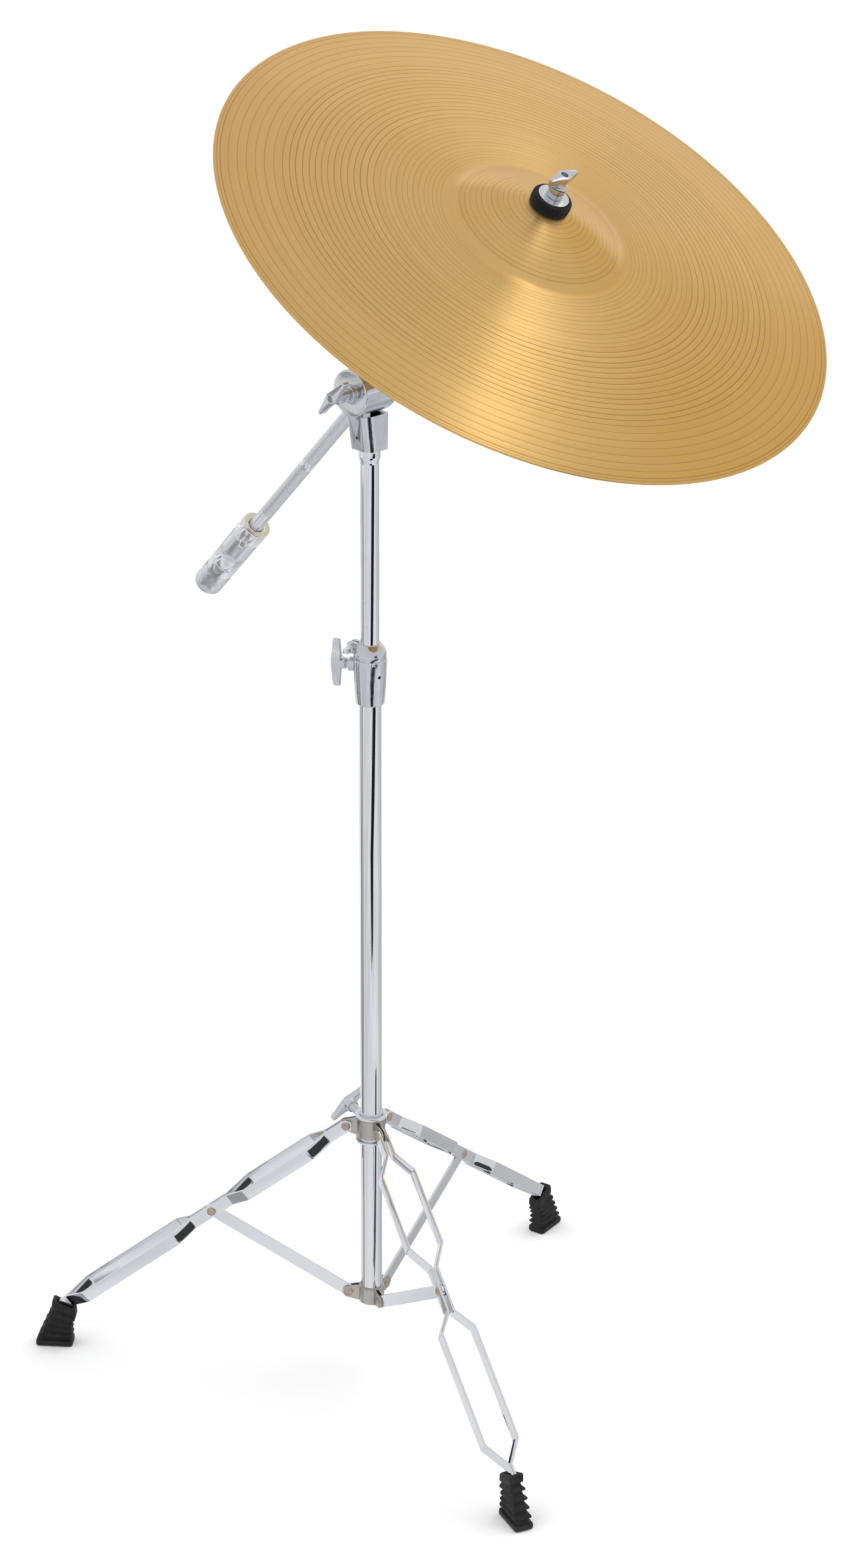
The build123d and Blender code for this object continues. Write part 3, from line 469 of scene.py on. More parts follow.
# ------------------------------------------------------------------ cymbal
CYMBAL_R = 254.0
HOLE_R = 6.5
SHEET = 1.3
BELL_EDGE = 72.0
BELL_EDGE_HEIGHT = 18.7
CROWN_R = 16.0
CROWN_HEIGHT = 41.5
FILLET = 3.2                  # reach of the hollow between bell and bow
GROOVE_DEPTH = 0.12


def arc_height(first, middle, last):
    """The height, as a function of radius, of the circle through three profile points."""
    (x1, y1), (x2, y2), (x3, y3) = first, middle, last
    d = 2 * (x1 * (y2 - y3) + x2 * (y3 - y1) + x3 * (y1 - y2))
    s1, s2, s3 = x1 * x1 + y1 * y1, x2 * x2 + y2 * y2, x3 * x3 + y3 * y3
    cx = (s1 * (y2 - y3) + s2 * (y3 - y1) + s3 * (y1 - y2)) / d
    cy = (s1 * (x3 - x2) + s2 * (x1 - x3) + s3 * (x2 - x1)) / d
    r = math.hypot(x1 - cx, y1 - cy)
    above = y2 > cy
    return lambda x: cy + math.sqrt(max(r * r - (x - cx) ** 2, 0.0)) * (1 if above else -1)


bow = arc_height((CYMBAL_R, 0), (162, 12.2), (BELL_EDGE, BELL_EDGE_HEIGHT))
bell = arc_height((BELL_EDGE, BELL_EDGE_HEIGHT), (47, 31.0), (CROWN_R, CROWN_HEIGHT))


def cymbal_height(radius):
    """Height of the upper surface above the rim's plane."""
    if radius < CROWN_R:
        return CROWN_HEIGHT
    if abs(radius - BELL_EDGE) < FILLET:
        along = (radius - BELL_EDGE + FILLET) / (2 * FILLET)
        inner = bell(BELL_EDGE - FILLET)
        outer = bow(BELL_EDGE + FILLET)
        bend = 2 * BELL_EDGE_HEIGHT * along * (1 - along)
        return inner * (1 - along) ** 2 + bend + outer * along ** 2
    if radius < BELL_EDGE:
        return bell(radius)
    return bow(radius)


def groove_radii():
    """Radii of the lathe grooves and one number for each, from the rim to the hole, that sets both how deep it
    is cut and how much shade is painted into it.
    """
    dice = random.Random(11)
    found = [(251.5, 0.5), (249.0, 0.7)]
    radius = 243.0
    while radius > BELL_EDGE + 5:
        if radius > 206:
            gap, depth_and_shade = 6.8, 0.55
        elif radius > 128:
            gap, depth_and_shade = 5.0, 0.80
        elif radius > 96:
            gap, depth_and_shade = 4.4, 0.45
        else:
            gap, depth_and_shade = 3.4, 0.35
        found.append((radius, depth_and_shade * dice.uniform(0.75, 1.0)))
        radius -= gap * dice.uniform(0.92, 1.08)
    radius = BELL_EDGE - 7
    while radius > 19:
        found.append((radius, dice.uniform(0.25, 0.45)))
        radius -= dice.uniform(3.0, 4.4)
    return found


def around(piece, matrix):
    """Bakes the piece's place into its mesh, with a map of angle and radius for turned metal."""
    mesh = piece.data
    angles = [math.atan2(vert.co.y, vert.co.x) for vert in mesh.vertices]
    radii = [math.hypot(vert.co.x, vert.co.y) / MM for vert in mesh.vertices]
    turn = mesh.uv_layers.new(name="turn")
    for face in mesh.polygons:
        first = angles[face.vertices[0]]
        for corner, vertex in zip(face.loop_indices, face.vertices):
            angle = angles[vertex]
            if angle - first > math.pi:
                angle -= math.tau
            if first - angle > math.pi:
                angle += math.tau
            turn.data[corner].uv = (angle / math.tau + 0.5, radii[vertex] / 300.0)
    spread = mesh.attributes.new("radius", "FLOAT", "POINT")
    spread.data.foreach_set("value", radii)
    mesh.transform(matrix)
    piece.matrix_world = Matrix.Identity(4)


def cymbal_profile():
    """Radius, height and painted groove shade of each point, over the top from the hole and back below."""
    grooves = groove_radii()
    line = []
    for radius, depth_and_shade in grooves:
        for step, share in ((0.48, 0.0), (0.17, 1.0), (-0.17, 1.0), (-0.48, 0.0)):
            line.append((radius + step, share * depth_and_shade))
    for step in range(121):
        radius = HOLE_R + (CYMBAL_R - 0.6 - HOLE_R) * step / 120
        if all(abs(radius - shaded_groove[0]) > 0.8 for shaded_groove in grooves):
            line.append((radius, 0.0))
    line += [(BELL_EDGE + FILLET * step / 5, 0.0) for step in range(-6, 7)]
    line.sort()
    # each groove's number both cuts it deeper and paints shade into it
    profile = [(radius, cymbal_height(radius) - GROOVE_DEPTH * depth_and_shade, depth_and_shade) for radius, depth_and_shade in line]
    for inset, height in ((0.25, -0.12), (0.0, -0.45), (0.0, -0.9), (0.25, -1.2)):
        profile.append((CYMBAL_R - inset, height, 0.0))
    for step in range(121):
        radius = CYMBAL_R - 0.8 - (CYMBAL_R - 0.8 - HOLE_R) * step / 120
        wave = math.sin(radius * 1.9)
        # below, painted shade in rings, darkest in the hollows of the shallow waves
        profile.append((radius, cymbal_height(radius) - SHEET + 0.05 * wave, 0.25 + 0.25 * wave))
    return profile


def make_cymbal():
    profile = cymbal_profile()
    rings = [circle(radius, height, 256) for radius, height, _ in profile]
    piece = loft("cymbal_turned", rings, CYMBAL, Matrix.Identity(4), looped=True, sharp=60.0)
    painted_shade = piece.data.attributes.new("shaded_groove", "FLOAT", "POINT")
    # painted shade of each point, looked up by its radius and height, for the groove darkening in the material
    table = {}
    for radius, height, depth_and_shade in profile:
        table[(round(radius, 2), round(height, 2))] = max(depth_and_shade, 0.0)
    values = []
    for vert in piece.data.vertices:
        radius = math.hypot(vert.co.x, vert.co.y) / MM
        values.append(table.get((round(radius, 2), round(vert.co.z / MM, 2)), 0.0))
    painted_shade.data.foreach_set("value", values)
    around(piece, place(RIM, ACROSS, POST))
    stands_for(piece, "cymbal")


make_cymbal()


# ------------------------------------------------------------ wing castings
def wing(name, node, matrix, span, top, barrel_r, barrel, hole=True):
    """A cast wing: a diamond face on top, wings that taper to blunt tips, and a round barrel below."""
    half = span / 2
    stations = 45
    rings = []
    for k in range(stations):
        u = -1 + 2 * k / (stations - 1)
        u = math.sin(u * math.pi / 2) * 0.35 + u * 0.65
        a = abs(u)
        wide = 1.75 + 3.9 * (1 - a) ** 1.25
        high = top - 0.9 * a * a
        depth = 6.3 + max(top - barrel - 6.3, 0.6) * (1 - a) ** 1.6
        if a > 0.93:
            trim = math.sqrt(max(1 - ((a - 0.93) / 0.07) ** 2, 0.0))
            wide *= 0.55 + 0.45 * trim
            depth *= 0.86 + 0.14 * trim
            high -= 0.35 * (1 - trim)
        low = wide * 0.62 + 0.35
        outline = [(-wide, high), (wide, high), (low, high - depth), (-low, high - depth)]
        section = rounded(outline, [0.75, 0.75, 0.9, 0.9], 3, closed=True)
        rings.append([(u * half, p[0], p[1]) for p in section])
    piece = loft(name, rings, CASTING, Matrix.Identity(4), sharp=32.0)
    neck = [(0.0, 0.0), (barrel_r, 0.0), (barrel_r, barrel - 1.0), (barrel_r + 0.7, barrel + 1.6),
            (0.0, barrel + 3.0)]
    boolean(piece, lathe("neck", neck, CASTING, Matrix.Identity(4), 0.5, 64), "UNION")
    if hole:
        bore = [(0.0, top - 5.0), (2.9, top - 5.0), (2.9, top + 2.0), (0.0, top + 2.0)]
        boolean(piece, lathe("bore", bore, CASTING, Matrix.Identity(4), 0.0, 48), "DIFFERENCE")
    finish_mesh(piece, CASTING, matrix, 32.0)
    stands_for(piece, node)


def thread(name, matrix, radius, low, high, body, pitch=1.25, depth=0.42):
    """A screw thread between two heights along the local z axis."""
    count = 48
    rows = int((high - low) / pitch * 8)
    rings = []
    for row in range(rows + 1):
        z = low + (high - low) * row / rows
        fade = min(1.0, (z - low) / pitch, (high - z) / pitch)
        ring = []
        for k in range(count):
            phase = (z / pitch + k / count) % 1.0
            r = radius - depth * fade * (1 - abs(phase * 2 - 1)) - 0.06
            angle = 2 * math.pi * k / count
            ring.append((r * math.cos(angle), r * math.sin(angle), z))
        rings.append(ring)
    piece = loft(name, rings, STEEL, matrix, sharp=60.0)
    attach(piece, body)


# nut on the cymbal, and the washer below it
NUT_TURN = math.radians(96.0)
nut_across = ACROSS * math.cos(NUT_TURN) + Vector((0, 1, 0)) * math.sin(NUT_TURN)
NUT_BASE = 52.0            # heights above the rim's plane
nut_place = place(RIM + POST * NUT_BASE * MM, nut_across, POST)
wing("cymbal_nut_casting", "cymbal_wing_nut", nut_place, span=32.0, top=20.6, barrel_r=6.4, barrel=8.8)
cymbal_place = place(RIM, ACROSS, POST)
washer = [(3.1, 50.7), (12.4, 50.7), (12.4, 51.9), (3.1, 51.9)]
stands_for(lathe("top_washer_turned", washer, STEEL, cymbal_place, 0.35, looped=True), "top_washer")


# ------------------------------------------------------------------- felts
def make_felt_ring(node, low, high):
    """A pressed felt: a soft ring whose surface is rough with fibres."""
    dice = random.Random(len(node))
    bumps = [(dice.uniform(2, 9), dice.uniform(0.5, 3.0), dice.uniform(0, 6.28)) for _ in range(14)]
    corners = [(6.3, low), (15.8, low), (16.0, (low + high) / 2), (15.8, high), (6.3, high)]
    outline = rounded(corners, 2.0, 6, closed=True)
    dense = []
    for here, there in zip(outline, outline[1:] + outline[:1]):
        pieces = max(1, int((there - here).length / 0.5))
        dense += [here.lerp(there, k / pieces) for k in range(pieces)]
    rings = []
    for p in dense:
        lift = 0.3 if low + 0.5 < p[1] < high - 0.5 else 0
        ring = []
        for k in range(180):
            angle = 2 * math.pi * k / 180
            swell = sum(math.sin(angle * round(n) * 2 + p[1] * rate + phase) for n, rate, phase in bumps)
            grain = dice.uniform(-0.16, 0.10) + 0.02 * swell
            r = p[0] + (grain if p[0] > 8 else 0.0)
            ring.append((r * math.cos(angle), r * math.sin(angle), p[1] + lift * grain))
        rings.append(ring)
    piece = loft(f"{node}_pressed", rings, FELT, cymbal_place, looped=True, sharp=80.0)
    stands_for(piece, node)


make_felt_ring("upper_felt", 41.7, 50.6)
make_felt_ring("lower_felt", 31.2, 40.1)

# -------------------------------------------------------------- boom, weight
KNURL_PITCH = 1.3


def knurled(pitch_around, pitch_along, depth):
    """A diamond pattern pressed into a round bar: how much lower the surface is."""
    def shape(angle, z):
        a = (angle / (2 * math.pi) * pitch_around + z / pitch_along) % 1.0
        b = (angle / (2 * math.pi) * pitch_around - z / pitch_along) % 1.0
        return -depth * (1 - min(1 - abs(2 * a - 1), 1 - abs(2 * b - 1)))
    return shape


def bar_rings(low, high, radius, count, knurl=None):
    """Rings of a stretch of bar: two for a smooth one, many for a knurled one."""
    if knurl is None:
        return [circle(radius, low, count), circle(radius, high, count)]
    rows = max(4, int((high - low) * 3.1))
    rings = []
    for row in range(rows + 1):
        z = low + (high - low) * row / rows
        rings.append(circle(radius, z, count, knurl))
    return rings


def plate_smooth(piece, smooth):
    """Gives plain chrome to the faces whose height along the bar is in a smooth stretch."""
    piece.data.materials.append(CHROME)
    for face in piece.data.polygons:
        if smooth(face.center.z / MM):
            face.material_index = 1


ROD_R = 6.0
ROD_SIDES = 120
boom_place = place(HINGE, (0, 1, 0), BOOM)
rod_knurl = knurled(30, 2 * KNURL_PITCH, 0.22)
rod = [circle(r, z, ROD_SIDES) for r, z in ((0.01, -290.0), (ROD_R - 0.8, -290.0), (ROD_R, -289.2))]
for low, high, knurl in ((-289.0, -185.0, None), (-184.6, -115.5, rod_knurl), (-115.1, -107.0, None),
                         (-106.6, 185.0, rod_knurl), (185.4, 218.5, None)):
    rod += bar_rings(low, high, ROD_R, ROD_SIDES, knurl)
rod += [circle(ROD_R - 0.8, 219.5, ROD_SIDES), circle(0.01, 219.5, ROD_SIDES)]
rod_piece = loft("boom_rod_knurled", rod, KNURL, boom_place, capped=False, sharp=28.0)
plate_smooth(rod_piece, lambda z: z < -184.8 or -115.3 < z < -106.8 or z > 185.2)
stands_for(rod_piece, "boom_rod")

WEIGHT_R = 12.7
WEIGHT_BORE_R = 6.05
WEIGHT_SIDES = 248
WEIGHT_ROUND = 5.5            # radius of the weight's round lower edge
W_TOP = -221.0
W_END = -302.0
weight_knurl = knurled(62, 2 * KNURL_PITCH, 0.24)
weight = []
for r, depth in ((WEIGHT_BORE_R, 0.0), (11.3, 0.0), (11.5, 1.0), (11.6, 1.3), (WEIGHT_R - 0.1, 2.0)):
    weight.append(circle(r, W_TOP - depth, WEIGHT_SIDES))
weight += bar_rings(W_TOP - 2.6, W_TOP - 28.0, WEIGHT_R, WEIGHT_SIDES, weight_knurl)
for r, depth in ((WEIGHT_R, 28.4), (WEIGHT_R, 40.2), (WEIGHT_R - 0.45, 40.7), (WEIGHT_R - 0.45, 41.3),
                 (WEIGHT_R, 41.8), (WEIGHT_R, 51.6)):
    weight.append(circle(r, W_TOP - depth, WEIGHT_SIDES))
weight += bar_rings(W_TOP - 52.0, W_END + 5.8, WEIGHT_R, WEIGHT_SIDES, weight_knurl)
for step in range(9):
    angle = math.pi / 2 * step / 8
    r = WEIGHT_R - WEIGHT_ROUND + WEIGHT_ROUND * math.cos(angle)
    weight.append(circle(r, W_END + WEIGHT_ROUND - WEIGHT_ROUND * math.sin(angle), WEIGHT_SIDES))
weight.append(circle(WEIGHT_BORE_R, W_END, WEIGHT_SIDES))
weight_piece = loft("counterweight_knurled", weight, KNURL, boom_place, looped=True, sharp=28.0)
plate_smooth(weight_piece, lambda z: z - W_TOP > -2.5 or -51.8 < z - W_TOP < -28.2)
stands_for(weight_piece, "counterweight")

ring_line = [(WEIGHT_BORE_R, W_TOP), (13.0, W_TOP), (13.0, -206.0), (7.6, -206.0), (WEIGHT_BORE_R, -209.0)]
ring_piece = lathe("counterweight_ring_turned", ring_line, CHROME, boom_place, 0.9, 96, looped=True)
stands_for(ring_piece, "counterweight_ring")


def key_screw(node, joint, reach, shank, x_dir):
    """A square-head drum-key screw: threaded shank, thin flange, square head with round corners."""
    axis = joint_axis(joint)
    base = place(joint_point(joint) + axis * reach * MM, x_dir, axis)
    outline = ((2.45, -shank), (2.45, 2.4), (3.5, 2.5), (3.75, 2.8), (3.75, 3.5), (3.5, 3.9), (2.5, 4.0))
    rings = [circle(radius, height, 48) for radius, height in outline]
    for height, inset in ((4.0, 0.0), (9.2, 0.0), (9.8, 0.25), (10.0, 0.8)):
        ring = []
        for k in range(48):
            angle = 2 * math.pi * k / 48
            side = max(abs(math.cos(angle)), abs(math.sin(angle)))
            r = min(2.35 / side, 2.95) - inset
            ring.append((r * math.cos(angle), r * math.sin(angle), height))
        rings.append(ring)
    piece = loft(f"{node}_turned", rings, CHROME, base, sharp=34.0)
    stands_for(piece, node)
    return base


screw_base = key_screw("counterweight_screw", "weight_screw_turn", 16.0, 9.8, BOOM)
thread("counterweight_screw_thread", screw_base, 2.95, -2.6, 2.3, NODE_BODY["counterweight_screw"], 0.8, 0.3)
key_screw("memory_lock_screw", "lock_screw_turn", 4.6, 9.2, (0, 0, 1))

# ------------------------------------------------------------------ column
BASE_R = 9.525
UPPER_R = 7.9375
WALL = 1.2


def tube(node, outline):
    stands_for(lathe(f"{node}_plated", outline, CHROME, column(0), 0.3, 128, looped=True), node)


tube("base_tube", [(BASE_R - WALL, 60.0), (BASE_R, 60.0), (BASE_R, 655.0), (BASE_R - WALL, 655.0)])
tube("upper_tube", [(UPPER_R - WALL, 400.0), (UPPER_R, 400.0), (UPPER_R, 845.0), (8.1, 846.4), (9.0, 849.6),
                    (9.15, 851.0), (9.15, 856.9), (UPPER_R, 857.0), (UPPER_R, 880.0), (UPPER_R - WALL, 880.0)])

for node in ("tilter_socket", "tilter_drum", "height_collar", "memory_lock", "cymbal_tilter_base",
             "cymbal_tilter_head"):
    dressed(node, CASTING, 0.5)
for node in ("tilter_eye_bolt", "tilter_washer", "cymbal_tilter_bolt", "cymbal_post", "seat_washer"):
    dressed(node, STEEL, 0.3)
for node in ("height_sleeve", "tube_guide_plug", "post_sleeve"):
    dressed(node, NYLON, 0.3)

tilter_nut = place(joint_point("tilter_nut_turn"), BOOM, joint_axis("tilter_nut_turn"))
wing("tilter_nut_casting", "tilter_wing_nut", tilter_nut, span=42.0, top=13.4, barrel_r=5.8, barrel=4.4)
stud = place((0, 0, HINGE.z), BOOM, (0, -1, 0))
thread("tilter_stud_thread", stud, 4.35, 25.4, 33.0, "tilter")
tilt_point = joint_point("cymbal_tilt")
head_face = place((tilt_point.x, -0.00485, tilt_point.z), BOOM, (0, -1, 0))
wing("cymbal_tilter_nut_casting", "cymbal_tilter_nut", head_face, span=30.0, top=11.5, barrel_r=4.6, barrel=3.5)

height_axis = joint_axis("height_bolt_turn")
height_level = Z_AXIS * 0.6675
height_wing = place(height_axis * 0.021 + height_level, Z_AXIS, height_axis)
wing("height_bolt_casting", "height_wing_bolt", height_wing, span=42.0, top=12.5, barrel_r=5.0, barrel=3.5,
     hole=False)
thread("height_bolt_thread", place(height_level, Z_AXIS, height_axis), 4.0, 9.7, 22.0, "height_bolt")

RUNNER_WING_SLANT = math.radians(38.0)
runner_axis = joint_axis("tripod_bolt_turn")
runner_level = Z_AXIS * joint_point("tripod_bolt_turn").z
side = Z_AXIS.cross(runner_axis)
slant = side * math.cos(RUNNER_WING_SLANT) - Z_AXIS * math.sin(RUNNER_WING_SLANT)
runner_wing = place(runner_axis * 0.038 + runner_level, slant, runner_axis)
wing("runner_bolt_casting", "runner_wing_bolt", runner_wing, span=42.0, top=13.0, barrel_r=5.4, barrel=4.0,
     hole=False)
thread("runner_bolt_thread", place(runner_level, slant, runner_axis), 4.0, 9.8, 39.0, "runner_bolt")

# ------------------------------------------------------------------ runner
bush = [(9.605, 222.0), (13.8, 222.0), (13.8, 224.0), (10.9, 224.0), (10.9, 245.5), (14.6, 245.5),
        (14.6, 246.9), (13.9, 247.5), (11.0, 247.5), (9.605, 245.3)]
stands_for(lathe("runner_bush_turned", bush, CHROME, column(0), 0.5, 96, looped=True), "runner_bush")
dressed("runner_band", NICKEL, 0.35)
dressed("lower_bracket", NICKEL, 0.35)
for node in ("runner_rivets", "bracket_rivets", "join_rivets_1", "join_rivets_2", "join_rivets_3"):
    dressed(node, BRONZE, 0.25, 50.0)

# -------------------------------------------------------------- legs and feet
STRIP = 2.2
STRIP_WIDTH = 11.0
DROP = math.radians(37.07)


# along and across one leg, from the pin: two loops, with the brace's rivet between them
STRIP_ROUTE = ((-5.6, 3.3), (21, 3.3), (40, 15.4), (110, 15.4), (131, 2.55), (173, 2.55), (191, 15.4),
               (295, 15.4), (316, 1.15), (330.5, 1.15))


def leg_frame(number):
    """A frame on the leg's pin, x along the leg and y sideways, and the leg's level direction."""
    joint = f"leg_{number}_fold"
    sideways = joint_axis(joint)
    out = sideways.cross(Z_AXIS)
    along = out * math.cos(DROP) - Z_AXIS * math.sin(DROP)
    return place(joint_point(joint), along, along.cross(sideways)), out


def strip_half_width(travelled):
    """Half of the strip's width: its first end is rounded about the pin."""
    full = STRIP_WIDTH / 2
    reach = full - travelled
    if reach <= 0:
        return full
    return math.sqrt(max(full ** 2 - reach ** 2, 0.5))


for number in (1, 2, 3):
    matrix, _ = leg_frame(number)
    for sign, name in ((1, "left"), (-1, "right")):
        path = [(x, sign * y) for x, y in STRIP_ROUTE]
        strip = ribbon(f"leg_{number}_{name}_plated", path, STRIP, STRIP_WIDTH, CHROME, matrix, 0.55,
                       strip_half_width)
        stands_for(strip, f"leg_{number}_{name}_strip")
    dressed(f"brace_{number}", CHROME, 0.5)


FIN_HEIGHTS = (10.0, 16.2, 22.4, 28.6)
BOOT_REACH = 0.2887           # from the column's axis to the sole's middle, in metres
BOOT_TOP = 41.0
BOOT_LEAN = math.radians(25.0)


def outer_edge(z):
    """How far out the tips of the slats reach at a height."""
    return 17.0 - 0.50 * max(z - 5.0, 0.0)


def inner_edge(z):
    """How far in the side towards the leg lies; it bulges inwards near the top."""
    rise = min(max((z - 20.0) / 14.0, 0.0), 1.0)
    return -16.2 - 4.6 * rise * rise * (3 - 2 * rise)


def boot_stations():
    """Height, shrinkage of the outer and broad sides, and half width, from the sole up."""
    stations = [(0.0, 1.3, 7.4), (0.5, 0.4, 8.3), (1.3, 0.0, 8.7), (4.0, 0.0, 8.7), (4.9, 0.5, 8.3),
                (5.3, 2.6, 6.2)]
    for fin, height in enumerate(FIN_HEIGHTS):
        core = 5.9 - 0.25 * fin
        tip = 8.4 - 0.35 * fin
        stations += [(height - 1.9, 2.9, core), (height - 1.1, 2.6, core + 0.2), (height - 0.8, 0.25, tip - 0.2),
                     (height - 0.35, 0.0, tip), (height + 0.25, 0.0, tip - 0.1),
                     (height + 0.9, 0.5, tip - 0.6),
                     (height + 2.3, 2.5, core), (height + 3.1, 2.9, core - 0.1)]
    stations += [(32.6, 2.7, 5.3), (33.4, 0.2, 6.2), (34.4, -0.4, 6.6), (38.4, -0.9, 6.7),
                 (40.2, -0.5, 6.5), (BOOT_TOP, 0.5, 5.7)]
    return stations


def boot(number):
    """A rubber boot with four slats; it leans in towards the leg and swallows the strips' ends."""
    _, out = leg_frame(number)
    matrix = place(out * BOOT_REACH, out, (0, 0, 1))
    rings = []
    for z, shrink, half_y in boot_stations():
        outer = outer_edge(min(z, 36.0)) - shrink
        inner = inner_edge(z) + max(shrink, 0.0) * 0.2
        middle = (outer + inner) / 2
        half_x = (outer - inner) / 2
        lean = BOOT_LEAN * min(max((z - 12.0) / 26.0, 0.0), 1.0)
        sag = 1.5 * min(z / 8.0, 1.0)
        ring = []
        for p in rounded_box(half_x, half_y, min(3.0, half_y - 0.6), 8):
            smile = sag * ((p.x / half_x) ** 2 - 0.5)
            rise = z + smile + p.x * math.sin(lean)
            ring.append((middle + p.x * math.cos(lean), p.y, max(rise, 0.0)))
        rings.append(ring)
    middle = (outer_edge(36.0) - 0.5 + inner_edge(BOOT_TOP)) / 2
    for half_x, half_y, sink in ((8.6, 3.9, 0.1), (7.9, 3.2, -0.6), (7.6, 2.9, -3.0), (7.5, 2.8, -9.0)):
        ring = []
        for p in rounded_box(half_x, half_y, 1.8, 8):
            ring.append((middle + p.x * math.cos(BOOT_LEAN) - sink * math.sin(BOOT_LEAN), p.y,
                         BOOT_TOP + p.x * math.sin(BOOT_LEAN) + sink * math.cos(BOOT_LEAN)))
        rings.append(ring)
    piece = loft(f"foot_{number}_moulded", rings, RUBBER, matrix, sharp=40.0)
    stands_for(piece, f"foot_{number}")


for number in (1, 2, 3):
    boot(number)


# ----------------------------------------------------------- stage and camera
CAMERA_PLACE = Vector((2.0223, -1.9968, 1.7477))
LOOK_AZIMUTH = math.radians(134.339)
PITCH_DOWN = math.radians(22.665)
ROLL = math.radians(0.255)


def stage_mesh(name, points, matter):
    """One flat face on the stage, which is not part of the object."""
    mesh = bpy.data.meshes.new(name)
    mesh.from_pydata(points, [], [tuple(range(len(points)))])
    mesh.materials.append(matter)
    obj = bpy.data.objects.new(name, mesh)
    bpy.context.scene.collection.objects.link(obj)
    return obj


def rectangle(centre, right, top, width, height):
    corners = ((-1, -1), (1, -1), (1, 1), (-1, 1))
    return [centre + right * sx * width / 2 + top * sy * height / 2 for sx, sy in corners]


floor_matter = bpy.data.materials.new("pale_floor")
floor_matter.use_nodes = True
floor_shader = floor_matter.node_tree.nodes["Principled BSDF"]
floor_shader.inputs["Base Color"].default_value = (0.88, 0.88, 0.88, 1)
floor_shader.inputs["Roughness"].default_value = 0.9
floor_shader.inputs["Specular IOR Level"].default_value = 0.1
floor_corners = rectangle(Vector((0, 0, -0.0002)), Vector((1, 0, 0)), Vector((0, 1, 0)), 60.0, 60.0)
stage_mesh("floor", floor_corners, floor_matter)


def only_reflected(obj):
    """A studio card: it shapes reflections and nothing else."""
    obj.visible_camera = False
    obj.visible_diffuse = False
    obj.visible_shadow = False
    obj.visible_transmission = False
    obj.visible_volume_scatter = False


def glowing(name, strength, colour=(1.0, 1.0, 1.0)):
    matter = bpy.data.materials.new(name)
    matter.use_nodes = True
    nodes = matter.node_tree.nodes
    nodes.remove(nodes["Principled BSDF"])
    glow = nodes.new("ShaderNodeEmission")
    glow.inputs["Color"].default_value = (*colour, 1)
    glow.inputs["Strength"].default_value = strength
    matter.node_tree.links.new(glow.outputs[0], nodes["Material Output"].inputs["Surface"])
    return matter


def floor_polygon(name, height, corners, matter):
    """A flat card lying just above the floor; corners are azimuth in degrees and distance."""
    points = []
    for azimuth, distance in corners:
        angle = math.radians(azimuth)
        points.append((distance * math.cos(angle), distance * math.sin(angle), height))
    only_reflected(stage_mesh(name, points, matter))


# azimuth in degrees and how light the reflected floor is there
FLOOR_SECTORS = ((-180, 0.92), (-155, 0.76), (-143, 0.66), (-137, 0.34), (-127, 0.34), (-121, 0.82),
                 (-100, 0.72), (-80, 0.74), (-50, 0.80), (-20, 0.76), (22, 0.86), (40, 0.66), (60, 0.70),
                 (66, 0.48), (95, 0.62), (140, 0.80), (180, 0.92))


def floor_glow():
    """The floor as chrome sees it: grey, with lighter and darker sectors."""
    matter = glowing("reflected_floor", 1.0)
    nodes = matter.node_tree.nodes
    links = matter.node_tree.links
    place_node = nodes.new("ShaderNodeTexCoord")
    gradient = nodes.new("ShaderNodeTexGradient")
    gradient.gradient_type = "RADIAL"
    links.new(place_node.outputs["Object"], gradient.inputs["Vector"])
    ramp = nodes.new("ShaderNodeValToRGB")
    stops = ramp.color_ramp.elements
    for number, (azimuth, level) in enumerate(FLOOR_SECTORS):
        position = (azimuth + 180) / 360
        stop = stops[number] if number < 2 else stops.new(position)
        stop.position = position
        stop.color = (level * 0.975, level * 0.985, level * 1.02, 1)
    links.new(gradient.outputs["Fac"], ramp.inputs["Fac"])
    noise = nodes.new("ShaderNodeTexNoise")
    noise.inputs["Scale"].default_value = 2.2
    links.new(place_node.outputs["Object"], noise.inputs["Vector"])
    spread = nodes.new("ShaderNodeMapRange")
    for socket, value in (("From Min", 0.3), ("From Max", 0.7), ("To Min", 0.88), ("To Max", 1.16)):
        spread.inputs[socket].default_value = value
    links.new(noise.outputs["Fac"], spread.inputs["Value"])
    glow = nodes["Emission"]
    links.new(ramp.outputs["Color"], glow.inputs["Color"])
    links.new(spread.outputs["Result"], glow.inputs["Strength"])
    return matter


BLACK_CORNERS = ((-37, 0.85), (-22, 0.95), (-16, 1.4), (2, 1.9), (12, 2.4), (16, 4.0), (-8, 4.0),
                 (-22, 2.4), (-31, 1.9), (-46, 1.4))
DIM_CORNERS = ((-160, 0.35), (-142, 0.35), (-146, 1.1), (-150, 2.6), (-158, 2.6), (-160, 1.1))
BRIGHT_CORNERS = ((-148, 2.5), (-122, 2.5), (-122, 3.9), (-148, 3.9))
NEAR_POINTS = ((0.12, -0.020), (0.13, -0.066), (0.30, -0.045), (0.54, 0.0), (0.54, 0.14), (0.30, 0.05))

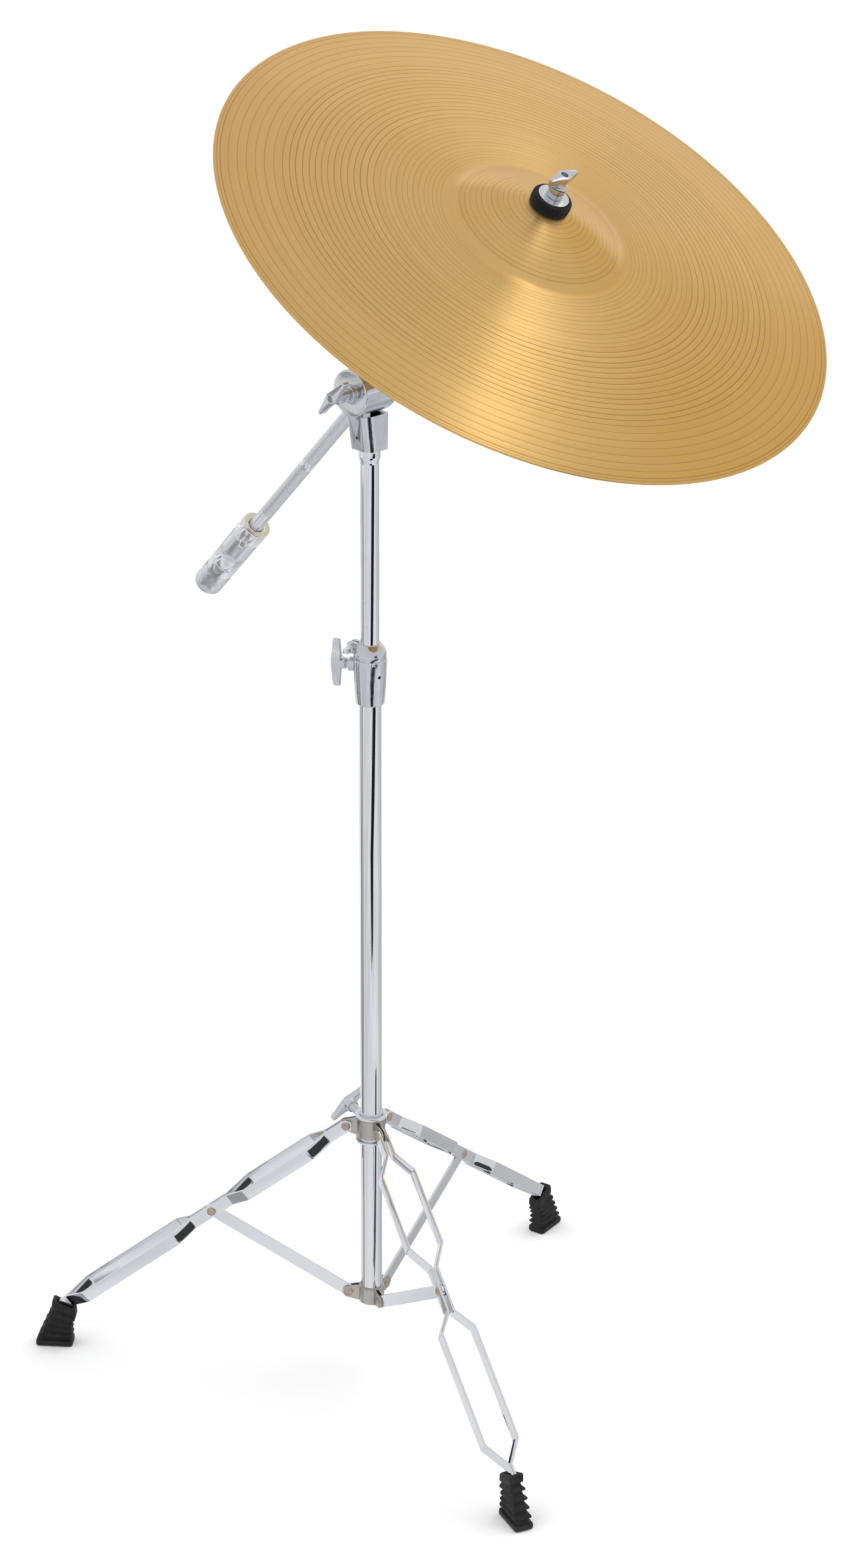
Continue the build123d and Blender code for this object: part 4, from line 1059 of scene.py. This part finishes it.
near_cloth = glowing("near_cloth", 0.05, (0.85, 0.92, 1.0))
near_corners = [(math.degrees(math.atan2(y, x)), math.hypot(x, y)) for x, y in NEAR_POINTS]
floor_polygon("card_floor", 0.0003, [(azimuth, 14.0) for azimuth in range(-180, 180, 15)], floor_glow())
floor_polygon("card_black", 0.0012, BLACK_CORNERS, glowing("black_cloth", 0.012))
floor_polygon("card_dim", 0.0012, DIM_CORNERS, glowing("dim_cloth", 0.16))
floor_polygon("card_near", 0.0010, near_corners, near_cloth)
floor_polygon("card_bright", 0.0014, BRIGHT_CORNERS, glowing("bright_cloth", 0.88))
side_facing = Vector((-1, 0.08, 0)).normalized()
side_right = Z_AXIS.cross(side_facing).normalized()
side_corners = rectangle(Vector((6.0, -0.5, 0.95)), side_right, Z_AXIS, 1.9, 1.7)
only_reflected(stage_mesh("card_side", side_corners, near_cloth))


def sky_card(name, sideways, upwards, width, height, strength, colour):
    """A glowing card around the direction in which the cymbal mirrors the camera.

    sideways and upwards are offsets from that direction, in radians; upwards is
    towards the cymbal's own axis.
    """
    to_camera = (CAMERA_PLACE - RIM).normalized()
    mirror = (2 * POST.dot(to_camera) * POST - to_camera).normalized()
    up = (POST - mirror * POST.dot(mirror)).normalized()
    right = up.cross(mirror)
    middle = (mirror + right * sideways + up * upwards).normalized()
    across = (right - middle * right.dot(middle)).normalized()
    rise = middle.cross(across)
    reach = 2.6
    corners = rectangle(RIM + middle * reach, across, rise, width * reach, height * reach)
    only_reflected(stage_mesh(name, corners, glowing(f"{name}_light", strength, colour)))


sky_card("card_wedge", -0.058, 0.34, 0.034, 0.50, 5.6, (1.0, 0.98, 0.92))
sky_card("card_warm", -0.42, 0.05, 0.55, 0.80, 0.74, (1.0, 0.88, 0.60))
sky_card("card_pale", 0.0, -0.45, 1.2, 0.40, 1.05, (1.0, 0.97, 1.0))
sky_card("card_rose", 0.45, 0.15, 0.5, 0.6, 0.76, (1.0, 0.95, 0.95))


def sun(name, target_to_light, strength, spread):
    """A very soft light from far away that the mirror-like parts don't show."""
    lamp = bpy.data.lights.new(name, "SUN")
    lamp.energy = strength
    lamp.angle = math.radians(spread)
    obj = bpy.data.objects.new(name, lamp)
    bpy.context.scene.collection.objects.link(obj)
    obj.rotation_euler = (-Vector(target_to_light)).to_track_quat("-Z", "Y").to_euler()
    obj.visible_glossy = False


sun("key", (0.5, 1.0, 2.2), 1.3, 60)
sun("fill", (-1.0, -1.2, 1.6), 0.9, 70)

world = bpy.data.worlds.new("studio")
bpy.context.scene.world = world
world.use_nodes = True
sky = world.node_tree.nodes["Background"]
sky.inputs["Color"].default_value = (0.97, 0.98, 1.0, 1)
sky.inputs["Strength"].default_value = 0.78

level_look = Vector((math.cos(LOOK_AZIMUTH), math.sin(LOOK_AZIMUTH), 0))
look = level_look * math.cos(PITCH_DOWN) - Z_AXIS * math.sin(PITCH_DOWN)
lens = bpy.data.cameras.new("camera")
lens.sensor_fit = "VERTICAL"
lens.sensor_height = 36.0
lens.lens = 83.58
lens.clip_end = 100.0
camera = bpy.data.objects.new("camera", lens)
bpy.context.scene.collection.objects.link(camera)
camera.location = CAMERA_PLACE
camera.rotation_euler = (look.to_track_quat("-Z", "Y").to_matrix() @ Matrix.Rotation(ROLL, 3, "Z")).to_euler()
bpy.context.scene.camera = camera
bpy.context.scene.view_settings.view_transform = "Standard"
